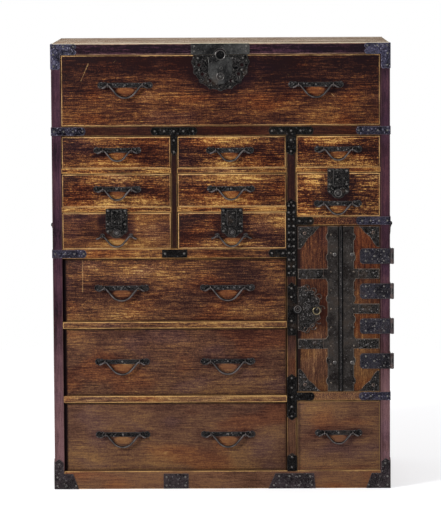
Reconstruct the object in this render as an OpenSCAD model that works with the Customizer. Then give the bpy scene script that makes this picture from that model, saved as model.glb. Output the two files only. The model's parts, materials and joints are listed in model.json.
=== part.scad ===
// Merchant's chest with thirteen drawers, a small iron-bound safe door and bail handles.
// Origin: centre of the footprint, on the floor. +X right, +Y to the back, +Z up. Millimetres.

/* [Case] */
// Depth of the chest from the frame's face to the back boards' face
case_d = 400; // [320:1:520]
// Thickness of the two side boards
side_board_t = 22; // [18:0.5:28]
// Thickness of the top board
top_board_t = 25; // [18:0.5:32]
// Height of the base rail, which is also the floor of the lowest drawers
base_h = 42; // [30:1:60]
// Thickness of the bottom board
bottom_board_t = 16; // [10:0.5:22]
// Depth of the base rails, front to back
base_rail_d = 20; // [14:1:30]
// Thickness of the back boards
back_board_t = 8; // [5:0.5:14]
// Number of back boards, one above the other
back_boards_n = 5; // [3:1:7]
// Thickness of the full-width shelf under the top drawer
upper_shelf_t = 24; // [18:0.5:30]
// Thickness of the shelf between the small and the large drawers on the left
middle_shelf_t = 23; // [18:0.5:30]
// Thickness of the shelves above and below the safe compartment
safe_shelf_t = 21; // [18:0.5:28]
// Thickness of the main partition beside the safe compartment
main_partition_t = 22; // [18:0.5:28]
// Thickness of the partition between the two columns of small drawers
small_partition_t = 14; // [10:0.5:20]

/* [Drawer openings] */
// Width of the left column of small drawers
left_w = 253; // [225:1:300]
// Width of the middle column of small drawers
centre_w = 252; // [225:1:300]
// Width of the right column and the safe compartment
right_w = 195; // [170:1:240]
// Height of the top drawer's opening
top_h = 164; // [140:1:200]
// Height of the first row of small drawers
row1_h = 74; // [66:0.5:90]
// Height of the second row of small drawers
row2_h = 77; // [66:0.5:90]
// Height of the third row of small drawers, which have locks
row3_h = 84.5; // [80:0.5:100]
// Height of the upper large drawer's opening
lower_a_h = 147.5; // [130:0.5:170]
// Height of the middle large drawer's opening
lower_b_h = 158; // [135:0.5:180]
// Height of the lowest large drawer's opening
lower_c_h = 161; // [135:0.5:185]
// Height of the first drawer's opening in the right column
right1_h = 73; // [66:0.5:90]
// Height of the second drawer's opening in the right column, which has a lock
right2_h = 101.5; // [96:0.5:120]
// Height of the drawer's opening below the safe compartment
bottom_right_h = 164; // [135:1:190]
// Thickness of the rails between the small drawers
small_rail_t = 12.5; // [11:0.5:16]
// Thickness of the rails between the large drawers
large_rail_t = 15.5; // [12:0.5:20]
// Depth of the rails behind the frame's face
rail_d = 40; // [25:1:60]
// Width of the runners that carry the drawers behind the rails
runner_w = 16; // [12:1:24]

/* [Drawers] */
// Thickness of the drawer fronts
front_t = 18; // [14:0.5:24]
// Thickness of the drawer sides and backs
drawer_wall_t = 9; // [6:0.5:12]
// Thickness of the drawer bottoms
drawer_bottom_t = 6; // [4:0.5:9]
// How far the drawer walls stay below the top of the front
wall_drop = 4; // [2:0.5:10]
// Gap above each drawer front
top_gap = 1.5; // [1:0.1:2.5]
// Gap at each end of a drawer front
side_gap = 1.5; // [0.8:0.1:2.5]
// Running gap between a drawer and its runners
run_gap = 0.3; // [0.2:0.05:0.6]
// Gap between a drawer's back and the back boards
back_gap = 1; // [0.5:0.1:4]
// How far the large drawers stand back from the frame's face
large_recess = 7; // [0:0.5:10]
// Joint between two boards, or between a nail and its plate
joint_gap = 0.1; // [0.05:0.01:0.3]

/* [Bail handles] */
// Distance between the eyes of a large bail
large_span = 80; // [74:1:100]
// How far a large bail hangs below its eyes
large_drop = 29; // [22:0.5:32]
// Distance between the eyes of a small bail
small_span = 66; // [60:1:76]
// How far a small bail hangs below its eyes
small_drop = 24.5; // [18:0.5:26]
// Thickness of a bail's rod
rod_d = 4.6; // [3.5:0.1:6]
// Slope of a bail's arms
arm_slope = 50; // [46:1:56]
// Reach of a bail's flared end past its eye
flare_out = 14; // [10:0.5:18]
// Fall of a bail's flared end
flare_down = 6; // [3:0.5:9]
// Clearance between a bail's rod and its eye
eye_play = 0.5; // [0.3:0.05:1]
// Thickness of an eye's wire
eye_wire_d = 2.4; // [2:0.1:3]
// Distance from the wood to the middle of an eye
eye_standoff = 8; // [7.5:0.1:11]
// Clearance around an eye's shank in the wood
shank_play = 0.1; // [0.05:0.01:0.3]
// Length of a large bail's back plate past each eye
large_plate_over = 23.5; // [18:0.5:28]
// Length of a small bail's back plate past each eye
small_plate_over = 22; // [18:0.5:28]
// Height of the back plates' bars
plate_h = 10.5; // [8:0.5:14]
// Radius of the back plates' rounded ends
plate_end_r = 7.5; // [6:0.25:9]
// Distance from the ends of the top drawer's opening to the middles of its bails
top_bail_in = 148.5; // [110:0.5:180]
// Distance from the ends of a large drawer's opening to the middles of its bails
large_bail_in = 137; // [100:0.5:150]
// Height of the carrying bails on the sides above the floor
side_bail_z = 604; // [500:1:760]

/* [Ironwork] */
// Thickness of the iron plates
iron_t = 1.4; // [0.8:0.1:2]
// Diameter of the nail heads
nail_d = 5; // [3.5:0.1:6]
// Height of the nail heads above the iron
nail_h = 1.2; // [0.6:0.1:2]
// Height of the straps on the shelves
strap_h = 19; // [14:0.5:21]
// Reach of the wrapped straps along the front
strap_reach = 82; // [60:1:110]
// Reach of the wrapped straps and corners along the sides
wrap_side = 62; // [40:1:90]
// Reach of the top corner mounts along the front
corner_reach = 60; // [40:1:80]
// Drop of the top corner mounts below the top
corner_drop = 59; // [40:1:80]
// Height of the bottom corner mounts at the corner
foot_rise = 71; // [50:1:90]
// Height of the bottom corner mounts along the base rail
foot_h = 36; // [24:0.5:40]
// Reach of the bottom corner mounts along the base rail
foot_reach = 57; // [40:1:80]
// Diameter of the round lock plate on the top drawer
great_lock_d = 134; // [120:1:150]
// How far the round plate's centre lies below the top drawer's upper edge
great_lock_down = 16; // [10:0.5:24]
// Diameter of the boss between the two top lock plates
lock_boss_d = 21; // [16:0.5:26]
// Clearance round the boss in the plate on the top board
boss_gap = 3; // [1.5:0.1:5]
// Width of the small lock plates
lock_w = 50; // [40:0.5:58]
// Height of the small lock plates below the rail above them
lock_drop = 60; // [52:0.5:66]
// How far the small lock plates reach up over the rail
lock_over = 9; // [4:0.5:10.5]
// Width of the lock cases behind the small locks
lock_case_w = 44; // [36:1:56]
// Height of the lock cases behind the small locks
lock_case_h = 52; // [44:1:56]
// Thickness of the lock cases
lock_case_t = 11; // [8:0.5:16]
// Distance from a small lock plate's tip to its keyhole
keyhole_rise = 13; // [11:0.5:18]
// Diameter of the keyholes in the wood
keyhole_d = 6; // [4:0.5:7]

/* [Safe door] */
// Thickness of the door
door_t = 22; // [16:0.5:28]
// Gap at the door's free edge
door_free_gap = 3; // [2.5:0.1:4.5]
// Gap around the door's other edges
door_gap = 1.5; // [1:0.1:2.5]
// Number of hinge straps
hinges_n = 4; // [3:1:4]
// Height of a hinge strap
hinge_h = 36; // [28:1:44]
// Distance between hinge straps
hinge_pitch = 81.5; // [70:0.5:84]
// Length of a hinge strap on the front, from the case's corner
hinge_reach = 70; // [60:1:80]
// Length of a hinge's leaf on the case's side
hinge_leaf = 44; // [30:1:60]
// Diameter of the hinge knuckles
knuckle_d = 8; // [7:0.25:9]
// Distance from the case's side to the hinge axis
hinge_out = 5; // [4.8:0.1:6]
// Distance from the frame's face to the hinge axis
hinge_front = 1; // [0.5:0.1:1.5]
// Diameter of the hinge pins
pin_d = 3; // [2.5:0.1:4]
// Running clearance around the hinge pins
pin_play = 0.08; // [0.04:0.01:0.1]
// Gap between neighbouring knuckles
knuckle_gap = 0.4; // [0.3:0.05:0.8]
// Width of each iron band beside the seam
band_w = 29; // [22:0.5:32]
// Distance from the door's hinge edge to the seam's middle
seam_from_hinge = 90.5; // [84:0.5:96]
// Width of the bead that covers the seam
bead_w = 5; // [3:0.25:8]
// Gap between the bead and each band
bead_gap = 2.8; // [1.5:0.1:4]
// Radius of the half-round lock plate
safe_lock_r = 56; // [44:0.5:60]
// Diameter of the boss on the lock plate
safe_boss_d = 23; // [18:0.5:28]
// Reach of the door's corner plates on its free side
free_corner = 52; // [40:1:60]
// Reach of the door's corner plates on its hinge side
hinge_corner = 48; // [40:1:56]
// Inset of the iron plates from the door's edges
plate_inset = 1; // [0.5:0.1:3]
// Height of the short straps across the door's boards
short_strap_h = 23; // [16:0.5:28]
// Outer diameter of the pull ring
ring_d = 19.4; // [16:0.2:24]
// Thickness of the pull ring's wire
ring_wire_d = 3; // [2.4:0.1:3.6]
// Distance from the door's free edge to the pull ring
ring_in = 44; // [38:0.5:46]

/* [Hidden] */
$fn = 48;
fine = 24;
no_plate = 0;
with_plate = 1;

iron = [0.16, 0.16, 0.17];
old_iron = [0.24, 0.24, 0.24];
lacquer = [0.33, 0.17, 0.11];
dark_lacquer = [0.26, 0.12, 0.12];
raw_wood = [0.62, 0.5, 0.34];

// The outer size follows from the openings and the boards between them.
small_block_w = left_w + small_partition_t + centre_w;
case_w = 2 * side_board_t + small_block_w + main_partition_t + right_w;
inner_w = case_w - 2 * side_board_t;
face_y = -case_d / 2;
inner_back_y = case_d / 2 - back_board_t;
left_x = -case_w / 2 + side_board_t;
small_partition_x = left_x + left_w;
centre_x = small_partition_x + small_partition_t;
main_partition_x = centre_x + centre_w;
right_x = main_partition_x + main_partition_t;

// Heights of the openings' floors, from the base up.
lower_c_z = base_h;
lower_b_z = lower_c_z + lower_c_h + large_rail_t;
lower_a_z = lower_b_z + lower_b_h + large_rail_t;
middle_shelf_z = lower_a_z + lower_a_h;
row3_z = middle_shelf_z + middle_shelf_t;
row2_z = row3_z + row3_h + small_rail_t;
row1_z = row2_z + row2_h + small_rail_t;
upper_shelf_z = row1_z + row1_h;
top_z = upper_shelf_z + upper_shelf_t;
top_board_z = top_z + top_h;
case_h = top_board_z + top_board_t;
bottom_right_z = base_h;
safe_z = bottom_right_z + bottom_right_h + safe_shelf_t;
right1_z = upper_shelf_z - right1_h;
right2_z = right1_z - small_rail_t - right2_h;
safe_top_z = right2_z - safe_shelf_t;
safe_h = safe_top_z - safe_z;

// One bail: [offset from the drawer's middle, rise above it, span, drop, back plate's overhang].
function large_bail(dx, dz) = [dx, dz, large_span, large_drop, large_plate_over, with_plate];
function small_bail(dx, dz) = [dx, dz, small_span, small_drop, small_plate_over, with_plate];
function bare_bail(dx, dz) = [dx, dz, small_span, small_drop, small_plate_over, no_plate];
function bail_pair(half_pitch, dz) = [large_bail(-half_pitch, dz), large_bail(half_pitch, dz)];
top_half_pitch = inner_w / 2 - top_bail_in;
large_half_pitch = small_block_w / 2 - large_bail_in;

// One drawer: [name, opening's left edge, opening's floor, width, height, recess, bails, lock].
DRAWERS = [
    ["top", left_x, top_z, inner_w, top_h, 0, bail_pair(top_half_pitch, 12), "great"],
    ["left_1", left_x, row1_z, left_w, row1_h, 0, [small_bail(3, 5)], "none"],
    ["left_2", left_x, row2_z, left_w, row2_h, 0, [small_bail(2, 3)], "none"],
    ["left_3", left_x, row3_z, left_w, row3_h, 0, [bare_bail(0, -12)], "small"],
    ["centre_1", centre_x, row1_z, centre_w, row1_h, 0, [small_bail(-4, 4)], "none"],
    ["centre_2", centre_x, row2_z, centre_w, row2_h, 0, [small_bail(-2, 3)], "none"],
    ["centre_3", centre_x, row3_z, centre_w, row3_h, 0, [bare_bail(-1, -12)], "small"],
    ["right_1", right_x, right1_z, right_w, right1_h, 0, [small_bail(0, 5)], "none"],
    ["right_2", right_x, right2_z, right_w, right2_h, 0, [small_bail(-1, -21)], "small"],
    ["lower_1", left_x, lower_a_z, small_block_w, lower_a_h, large_recess,
        bail_pair(large_half_pitch, 5), "none"],
    ["lower_2", left_x, lower_b_z, small_block_w, lower_b_h, large_recess,
        bail_pair(large_half_pitch, 1), "none"],
    ["lower_3", left_x, lower_c_z, small_block_w, lower_c_h, large_recess,
        bail_pair(large_half_pitch, 5), "none"],
    ["lower_right", right_x, bottom_right_z, right_w, bottom_right_h, 0, [small_bail(0, 7)], "none"],
];

function drawer_name(d) = str("drawer_", d[0]);
function iron_name(d) = str("fittings_", d[0]);
function side_mark(i) = i == 0 ? "_left" : "_right";
function bail_name(d, i) = str("bail_", d[0], len(d[6]) > 1 ? side_mark(i) : "");

// ---------- helpers ----------

// A box from its low corner to its high corner.
module block(low, high) translate(low) cube(high - low);

// A flat shape drawn in X and Z, laid on a face at depth y and raised towards the front.
module on_front(y, t) translate([0, y, 0]) rotate([90, 0, 0]) linear_extrude(t) children();

// A flat shape drawn in Y and Z, laid on the case's right side and raised outwards.
module on_right(t) translate([case_w / 2, 0, 0]) rotate([90, 0, 90]) linear_extrude(t) children();

module mirrored_pair() {
    children();
    mirror([1, 0, 0]) children();
}

// A domed nail head on the front.
module nail(x, z, y = face_y - iron_t, d = nail_d)
    translate([x, y - joint_gap, z]) rotate([90, 0, 0]) cylinder(h = nail_h, d1 = d, d2 = d * 0.55, $fn = fine);

// Nail heads evenly spaced between two points on the front.
module nail_row(x0, z0, x1, z1, n, y = face_y - iron_t)
    for (i = [0 : n - 1]) nail(x0 + (x1 - x0) * i / max(1, n - 1), z0 + (z1 - z0) * i / max(1, n - 1), y);

// ---------- bail handles ----------

eye_hole_r = rod_d / 2 + eye_play;
eye_ring_r = eye_hole_r + eye_wire_d / 2;
shank_d = eye_wire_d;
eye_stub = eye_wire_d / 2 + 1.3;
rod_sides = 10;

// The bail's middle line from the left tip to the right tip: flared ends, short straight
// stretches through the eyes, sloping arms, and one round bend at the bottom.
function bend_r(span, drop) =
    ((span / 2 - eye_stub) * sin(arm_slope) - drop * cos(arm_slope)) / (1 - cos(arm_slope));
function half_line(span, drop) = concat(
    [[span / 2 + flare_out, -flare_down], [span / 2 + flare_out * 0.8, -flare_down * 0.98],
     [span / 2 + flare_out * 0.45, -flare_down * 0.6], [span / 2 + flare_out * 0.2, -flare_down * 0.12],
     [span / 2, 0], [span / 2 - eye_stub, 0], [span / 2 - eye_stub - 2, -1.6]],
    [for (a = [arm_slope : -arm_slope / 4 : arm_slope / 8])
        [bend_r(span, drop) * sin(a), bend_r(span, drop) * (1 - cos(a)) - drop]]
);
function flipped(line) = [for (i = [len(line) - 1 : -1 : 0]) [-line[i][0], line[i][1]]];
function bail_line(span, drop) = concat(half_line(span, drop), [[0, -drop]], flipped(half_line(span, drop)));

// The rod swells into a bud at both tips.
function rod_r(i, last) =
    let (k = min(i, last - i)) rod_d / 2 * (k == 0 ? 0.55 : k == 1 ? 1.2 : k == 2 ? 1.12 : 1);
function unit(v) = v / norm(v);

// A round rod along a line in the X-Z plane.
module rod(line) {
    last = len(line) - 1;
    rings = [for (i = [0 : last])
        let (t = unit(line[min(i + 1, last)] - line[max(i - 1, 0)]), r = rod_r(i, last))
        for (j = [0 : rod_sides - 1])
            let (a = 360 * j / rod_sides)
            [line[i][0] - t[1] * r * cos(a), r * sin(a), line[i][1] + t[0] * r * cos(a)]];
    walls = [for (i = [0 : last - 1], j = [0 : rod_sides - 1])
        let (a = i * rod_sides + j, b = i * rod_sides + (j + 1) % rod_sides)
        each [[a, a + rod_sides, b], [b, a + rod_sides, b + rod_sides]]];
    start_cap = [[for (j = [0 : rod_sides - 1]) j]];
    end_cap = [[for (j = [rod_sides - 1 : -1 : 0]) last * rod_sides + j]];
    polyhedron(rings, concat(walls, start_cap, end_cap));
}

module bail(span, drop) color(iron) rod(bail_line(span, drop));

// An eye: a ring round the rod, on a shank that goes through the wood behind it.
module eye(wood_t) color(iron) union() {
    translate([0, -eye_standoff, 0]) rotate([0, 90, 0])
        rotate_extrude() translate([eye_ring_r, 0]) circle(d = eye_wire_d, $fn = fine);
    translate([0, wood_t + 1, 0]) rotate([90, 0, 0])
        cylinder(h = wood_t + 1 + eye_standoff - eye_ring_r, d = shank_d, $fn = fine);
}

module shank_hole(wood_t) translate([0, wood_t + 1, 0]) rotate([90, 0, 0])
    cylinder(h = wood_t + 2, d = shank_d + 2 * shank_play, $fn = fine);

// The outline of a bail's back plate: a bar with rounded, lobed ends.
module plate_outline(span, over) {
    end_x = span / 2 + over - plate_end_r;
    difference() {
        union() {
            square([2 * end_x, plate_h], center = true);
            for (s = [-1, 1]) {
                translate([s * end_x, 0]) circle(plate_end_r);
                translate([s * (end_x - plate_end_r * 1.2), plate_h / 2 - 1]) circle(2.6, $fn = fine);
                translate([s * (end_x - plate_end_r * 1.2), 1 - plate_h / 2]) circle(2.6, $fn = fine);
            }
        }
        for (s = [-1, 1]) translate([s * span / 2, 0]) circle(d = shank_d + 2 * shank_play, $fn = fine);
    }
}

// The round roses behind the eyes of a bail that has no back plate.
module rose() color(iron) on_front(0, iron_t) difference() {
    circle(5.5);
    circle(d = shank_d + 2 * shank_play, $fn = fine);
}

// ---------- case ----------

module side_boards() color(dark_lacquer) mirrored_pair() difference() {
    block([inner_w / 2, face_y, 0], [case_w / 2, inner_back_y, top_board_z]);
    for (s = [-1, 1]) translate([case_w / 2, s * large_span / 2, side_bail_z]) rotate([0, 0, 90])
        shank_hole(side_board_t);
}

module top_board() color(dark_lacquer)
    block([-case_w / 2, face_y, top_board_z], [case_w / 2, inner_back_y, case_h]);

// The bottom board lies behind the front rail, on a middle rail and a back rail.
module base() color(lacquer) {
    board_z = base_h - bottom_board_t;
    block([-inner_w / 2, face_y, 0], [inner_w / 2, face_y + base_rail_d, base_h]);
    for (y = [-base_rail_d / 2, inner_back_y - base_rail_d])
        block([-inner_w / 2, y, 0], [inner_w / 2, y + base_rail_d, board_z - joint_gap]);
    block([-inner_w / 2, face_y + base_rail_d + joint_gap, board_z], [inner_w / 2, inner_back_y, base_h]);
}

module back_boards() color(raw_wood) for (i = [0 : back_boards_n - 1])
    block([-case_w / 2, inner_back_y, case_h * i / back_boards_n + (i > 0 ? joint_gap : 0)],
          [case_w / 2, case_d / 2, case_h * (i + 1) / back_boards_n]);

module shelf(x, z, w, t) block([x, face_y, z], [x + w, inner_back_y, z + t]);

module shelves() color(lacquer) {
    shelf(left_x, upper_shelf_z, inner_w, upper_shelf_t);
    shelf(left_x, middle_shelf_z, small_block_w, middle_shelf_t);
    shelf(right_x, safe_top_z, right_w, safe_shelf_t);
    shelf(right_x, safe_z - safe_shelf_t, right_w, safe_shelf_t);
}

module partitions() color(dark_lacquer) {
    shelf(main_partition_x, base_h, main_partition_t, upper_shelf_z - base_h);
    shelf(small_partition_x, row3_z, small_partition_t, upper_shelf_z - row3_z);
}

// One rail below an opening: [left edge, width, top, thickness].
RAILS = [
    [left_x, left_w, row1_z, small_rail_t],
    [left_x, left_w, row2_z, small_rail_t],
    [centre_x, centre_w, row1_z, small_rail_t],
    [centre_x, centre_w, row2_z, small_rail_t],
    [right_x, right_w, right1_z, small_rail_t],
    [left_x, small_block_w, lower_a_z, large_rail_t],
    [left_x, small_block_w, lower_b_z, large_rail_t],
];

module rails() color(lacquer) for (r = RAILS)
    block([r[0], face_y, r[2] - r[3]], [r[0] + r[1], face_y + rail_d, r[2]]);

// A runner stands at each end of every rail, level with its top, and reaches the back boards.
module runners() color(raw_wood) for (r = RAILS, x = [r[0], r[0] + r[1] - runner_w])
    block([x, face_y + rail_d, r[2] - r[3]], [x + runner_w, inner_back_y, r[2]]);

// ---------- drawers ----------

function front_w(d) = d[3] - 2 * side_gap;
function front_h(d) = d[4] - top_gap - run_gap;
function middle_x(d) = d[1] + d[3] / 2;
function middle_z(d) = d[2] + d[4] / 2;
function drawer_y(d) = face_y + d[5];

// Front, two walls, back and bottom are five boards; the walls and back stand on the bottom.
module drawer(d) {
    x0 = d[1] + side_gap;
    x1 = x0 + front_w(d);
    z0 = d[2] + run_gap;
    z1 = z0 + front_h(d);
    y0 = drawer_y(d);
    y1 = inner_back_y - back_gap;
    wall_y = y0 + front_t + joint_gap;
    wall_z0 = z0 + drawer_bottom_t + joint_gap;
    wall_z1 = z1 - wall_drop;
    back_x = drawer_wall_t + joint_gap;
    color(lacquer) difference() {
        block([x0, y0, z0], [x1, y0 + front_t, z1]);
        for (b = d[6], s = [-1, 1])
            translate([middle_x(d) + b[0] + s * b[2] / 2, y0, middle_z(d) + b[1]]) shank_hole(front_t);
        if (d[7] != "none") translate([middle_x(d), y0 + front_t / 2, keyhole_z(d)]) rotate([90, 0, 0])
            cylinder(h = front_t + 2, d = keyhole_d, center = true, $fn = fine);
    }
    color(raw_wood) {
        block([x0, wall_y, z0], [x1, y1, z0 + drawer_bottom_t]);
        for (x = [x0, x1 - drawer_wall_t])
            block([x, wall_y, wall_z0], [x + drawer_wall_t, y1, wall_z1]);
        block([x0 + back_x, y1 - drawer_wall_t, wall_z0], [x1 - back_x, y1, wall_z1]);
    }
}

function keyhole_z(d) = d[2] + d[4] - (d[7] == "great" ? top_gap + great_key_down : lock_drop - keyhole_rise);
great_key_down = great_lock_down + great_lock_d / 4;

module drawer_fittings(d) {
    y0 = drawer_y(d);
    for (b = d[6]) translate([middle_x(d) + b[0], y0, middle_z(d) + b[1]]) {
        for (s = [-1, 1]) translate([s * b[2] / 2, 0, 0]) {
            eye(front_t);
            if (b[5] == no_plate) rose();
        }
        if (b[5] == with_plate) {
            color(iron) on_front(0, iron_t) plate_outline(b[2], b[4]);
            color(old_iron) nail(0, 0, -iron_t);
        }
    }
    if (d[7] == "small") {
        translate([middle_x(d), y0, d[2] + d[4]]) small_lock();
        lock_case(d, lock_case_w, lock_case_h);
    }
    if (d[7] == "great") {
        translate([middle_x(d), y0, d[2] + d[4] - top_gap]) great_lock();
        lock_case(d, great_case_w, great_case_h);
    }
}

// The case of a lock, on the back of the drawer's front, below its upper edge.
great_case_w = 2 * lock_case_w;
great_case_h = 1.5 * lock_case_h;
case_down = 6;
module lock_case(d, w, h) color(old_iron) {
    top = d[2] + d[4] - case_down;
    y = drawer_y(d) + front_t;
    block([middle_x(d) - w / 2, y + joint_gap, top - h], [middle_x(d) + w / 2, y + lock_case_t, top]);
}

module drawer_bail(d, b) translate([middle_x(d) + b[0], drawer_y(d) - eye_standoff, middle_z(d) + b[1]])
    bail(b[2], b[3]);

// The lock plate of a small drawer, drawn from the lower edge of the rail above it.
escutcheon_r = 5;
escutcheon_w = 1.6;
module small_lock() {
    tip_r = lock_w * 0.36;
    keyhole_z = keyhole_rise - lock_drop;
    color(iron) on_front(0, iron_t) difference() {
        union() {
            translate([-lock_w / 2, tip_r - lock_drop]) square([lock_w, lock_drop + lock_over - tip_r]);
            for (s = [-1, 1]) translate([s * (lock_w / 2 - tip_r * 0.45), tip_r - lock_drop])
                circle(tip_r * 0.45);
            translate([0, tip_r - lock_drop]) circle(tip_r);
        }
        translate([0, keyhole_z]) circle(2);
        translate([-0.9, keyhole_z - 6]) square([1.8, 6]);
    }
    color(old_iron) {
        on_front(-iron_t - joint_gap, escutcheon_w) translate([0, keyhole_z]) difference() {
            circle(escutcheon_r);
            circle(escutcheon_r - escutcheon_w);
        }
        for (s = [-1, 1], z = [-lock_drop + 16, -lock_drop * 0.45, lock_over - 5])
            nail(s * (lock_w / 2 - 5), z, -iron_t);
    }
}

// The great lock plate: a scalloped disc cut off level with the drawer's upper edge, with a
// boss that stands up in front of the top board's edge.
scallops = 16;
boss_t = 3.6;
great_escutcheon_r = 7;
module great_lock() {
    r = great_lock_d / 2;
    color(iron) on_front(0, iron_t) difference() {
        translate([0, -great_lock_down]) union() {
            circle(r - 3);
            for (i = [0 : scallops - 1]) rotate(360 * i / scallops) translate([r - 7, 0]) circle(7, $fn = fine);
        }
        translate([-r, 0]) square(2 * r);
        for (s = [-1, 1], a = [-8, -34, -60]) translate([0, -great_lock_down])
            rotate(s > 0 ? a : 180 - a) translate([r - 17, 0]) circle(4.2, $fn = fine);
        translate([0, -great_key_down]) circle(d = keyhole_d);
    }
    color(old_iron) {
        on_front(-iron_t - joint_gap, boss_t) circle(d = lock_boss_d);
        on_front(-iron_t - joint_gap, escutcheon_w) translate([0, -great_key_down]) difference() {
            circle(great_escutcheon_r);
            circle(great_escutcheon_r - 2.4);
        }
        for (s = [-1, 1], p = [[28, -7], [52, -7], [49, -34], [28, -60]]) nail(s * p[0], p[1], -iron_t);
    }
}

// ---------- frame ironwork ----------

// A strap with a pointed, round-shouldered end, from x = 0 to x = reach.
module strap_outline(reach, h) {
    shoulder = h * 0.3;
    square([reach - h / 2, h]);
    translate([reach - h / 2, h / 2]) circle(h / 2 - shoulder * 0.4);
    for (z = [shoulder, h - shoulder]) translate([reach - h / 2, z]) circle(shoulder);
}

// A strap that wraps the right-hand front corner at height z.
module wrapped_strap(z, reach, h = strap_h) union() {
    on_front(face_y, iron_t) translate([case_w / 2 + iron_t, z]) mirror([1, 0]) strap_outline(reach, h);
    on_right(iron_t) translate([face_y - iron_t, z]) strap_outline(wrap_side, h);
}

// The mount on the right-hand top corner: an L on the front and an L on the side.
module top_corner() union() {
    on_front(face_y, iron_t) translate([case_w / 2 + iron_t, case_h]) mirror([1, 0]) corner_outline();
    on_right(iron_t) translate([face_y - iron_t, case_h]) corner_outline();
}

module corner_outline() {
    translate([0, -top_board_t]) square([corner_reach - 6, top_board_t]);
    for (z = [6, top_board_t - 6]) translate([corner_reach - 6, -z]) circle(6, $fn = fine);
    translate([0, -corner_drop + 6]) square([side_board_t, corner_drop - 6]);
    for (x = [6, side_board_t - 6]) translate([x, 6 - corner_drop]) circle(6, $fn = fine);
}

module bottom_corner() union() {
    on_front(face_y, iron_t) translate([case_w / 2 + iron_t, 0]) mirror([1, 0]) foot_outline();
    on_right(iron_t) translate([face_y - iron_t, 0]) foot_outline();
}

module foot_outline() polygon([[0, 0], [foot_reach, 0], [foot_reach - 13, foot_h], [side_board_t, foot_h],
    [side_board_t, foot_rise - 8], [side_board_t / 2, foot_rise], [0, foot_rise - 8]]);

// A flat piece with a pointed end, on the front, from (x, z) upwards.
module upright(x, w, z0, z1, point_up = 0, point_down = 0) polygon([
    [x, z0 + point_down], [x + w / 2, z0], [x + w, z0 + point_down],
    [x + w, z1 - point_up], [x + w / 2, z1], [x, z1 - point_up]]);

main_mid_x = main_partition_x + main_partition_t / 2;
small_mid_x = small_partition_x + small_partition_t / 2;
arm_reach = 44;
tee_half = 54;
small_tee_half = 56;
tee_leg = 46;
strip_over = 62;
strip_under = 43;
point = 8;
catch_half = 62;
cross_under = 46;
cross_over = 42;
stub_rise = 42;
bottom_plate_w = 58;
trapezoid_half = 55;
strap_inset_z = 2;

// A bar on the upper shelf above a partition, with a leg down the partition's edge.
module tee(mid_x, w, half) union() {
    z = upper_shelf_z + strap_inset_z;
    for (s = [0, 1]) translate([mid_x, z]) mirror([s, 0]) strap_outline(half, strap_h);
    upright(mid_x - w / 2, w, upper_shelf_z - tee_leg, z + 1, 0, point);
}

// The strip on the main partition, with an arm to each shelf that meets it.
module main_strip() union() {
    upright(main_partition_x, main_partition_t, middle_shelf_z - strip_under, safe_top_z + strip_over, point, 0);
    translate([main_mid_x, safe_top_z + 1]) strap_outline(arm_reach + main_partition_t / 2, strap_h);
    translate([main_mid_x, middle_shelf_z + strap_inset_z]) mirror([1, 0])
        strap_outline(arm_reach + main_partition_t / 2, strap_h);
}

module lower_cross() union() {
    upright(main_partition_x, main_partition_t, safe_z - safe_shelf_t - cross_under, safe_z + cross_over,
        point, point);
    translate([main_mid_x, safe_z - safe_shelf_t + 1]) strap_outline(arm_reach + main_partition_t / 2, strap_h);
}

module top_lock_plate() difference() {
    translate([-great_lock_d / 2, top_board_z]) square([great_lock_d, top_board_t]);
    translate([0, top_board_z]) circle(lock_boss_d / 2 + boss_gap);
}

module frame_straps() color(iron) {
    mirrored_pair() {
        top_corner();
        bottom_corner();
        wrapped_strap(upper_shelf_z + strap_inset_z, strap_reach);
    }
    mirror([1, 0, 0]) wrapped_strap(middle_shelf_z + strap_inset_z, strap_reach);
    wrapped_strap(safe_top_z + 1, strap_reach);
    wrapped_strap(safe_z - safe_shelf_t + 1, strap_reach - 6);
    on_front(face_y, iron_t) {
        tee(main_mid_x, main_partition_t, tee_half);
        tee(small_mid_x, small_partition_t, small_tee_half);
        main_strip();
        upright(main_partition_x + 1, main_partition_t - 1, safe_mid_z - catch_half, safe_mid_z + catch_half,
            point, 0);
        lower_cross();
        upright(main_partition_x, main_partition_t, foot_h + 5, base_h + stub_rise, point, 0);
        translate([small_mid_x - bottom_plate_w / 2, middle_shelf_z + strap_inset_z])
            square([bottom_plate_w, strap_h]);
        translate([small_mid_x - bottom_plate_w / 2, 1]) square([bottom_plate_w, foot_h - 1]);
        polygon([[main_mid_x - trapezoid_half, 0], [main_mid_x + trapezoid_half, 0],
            [main_mid_x + trapezoid_half - 4, foot_h], [main_mid_x - trapezoid_half + 16, foot_h]]);
        top_lock_plate();
    }
}

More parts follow.
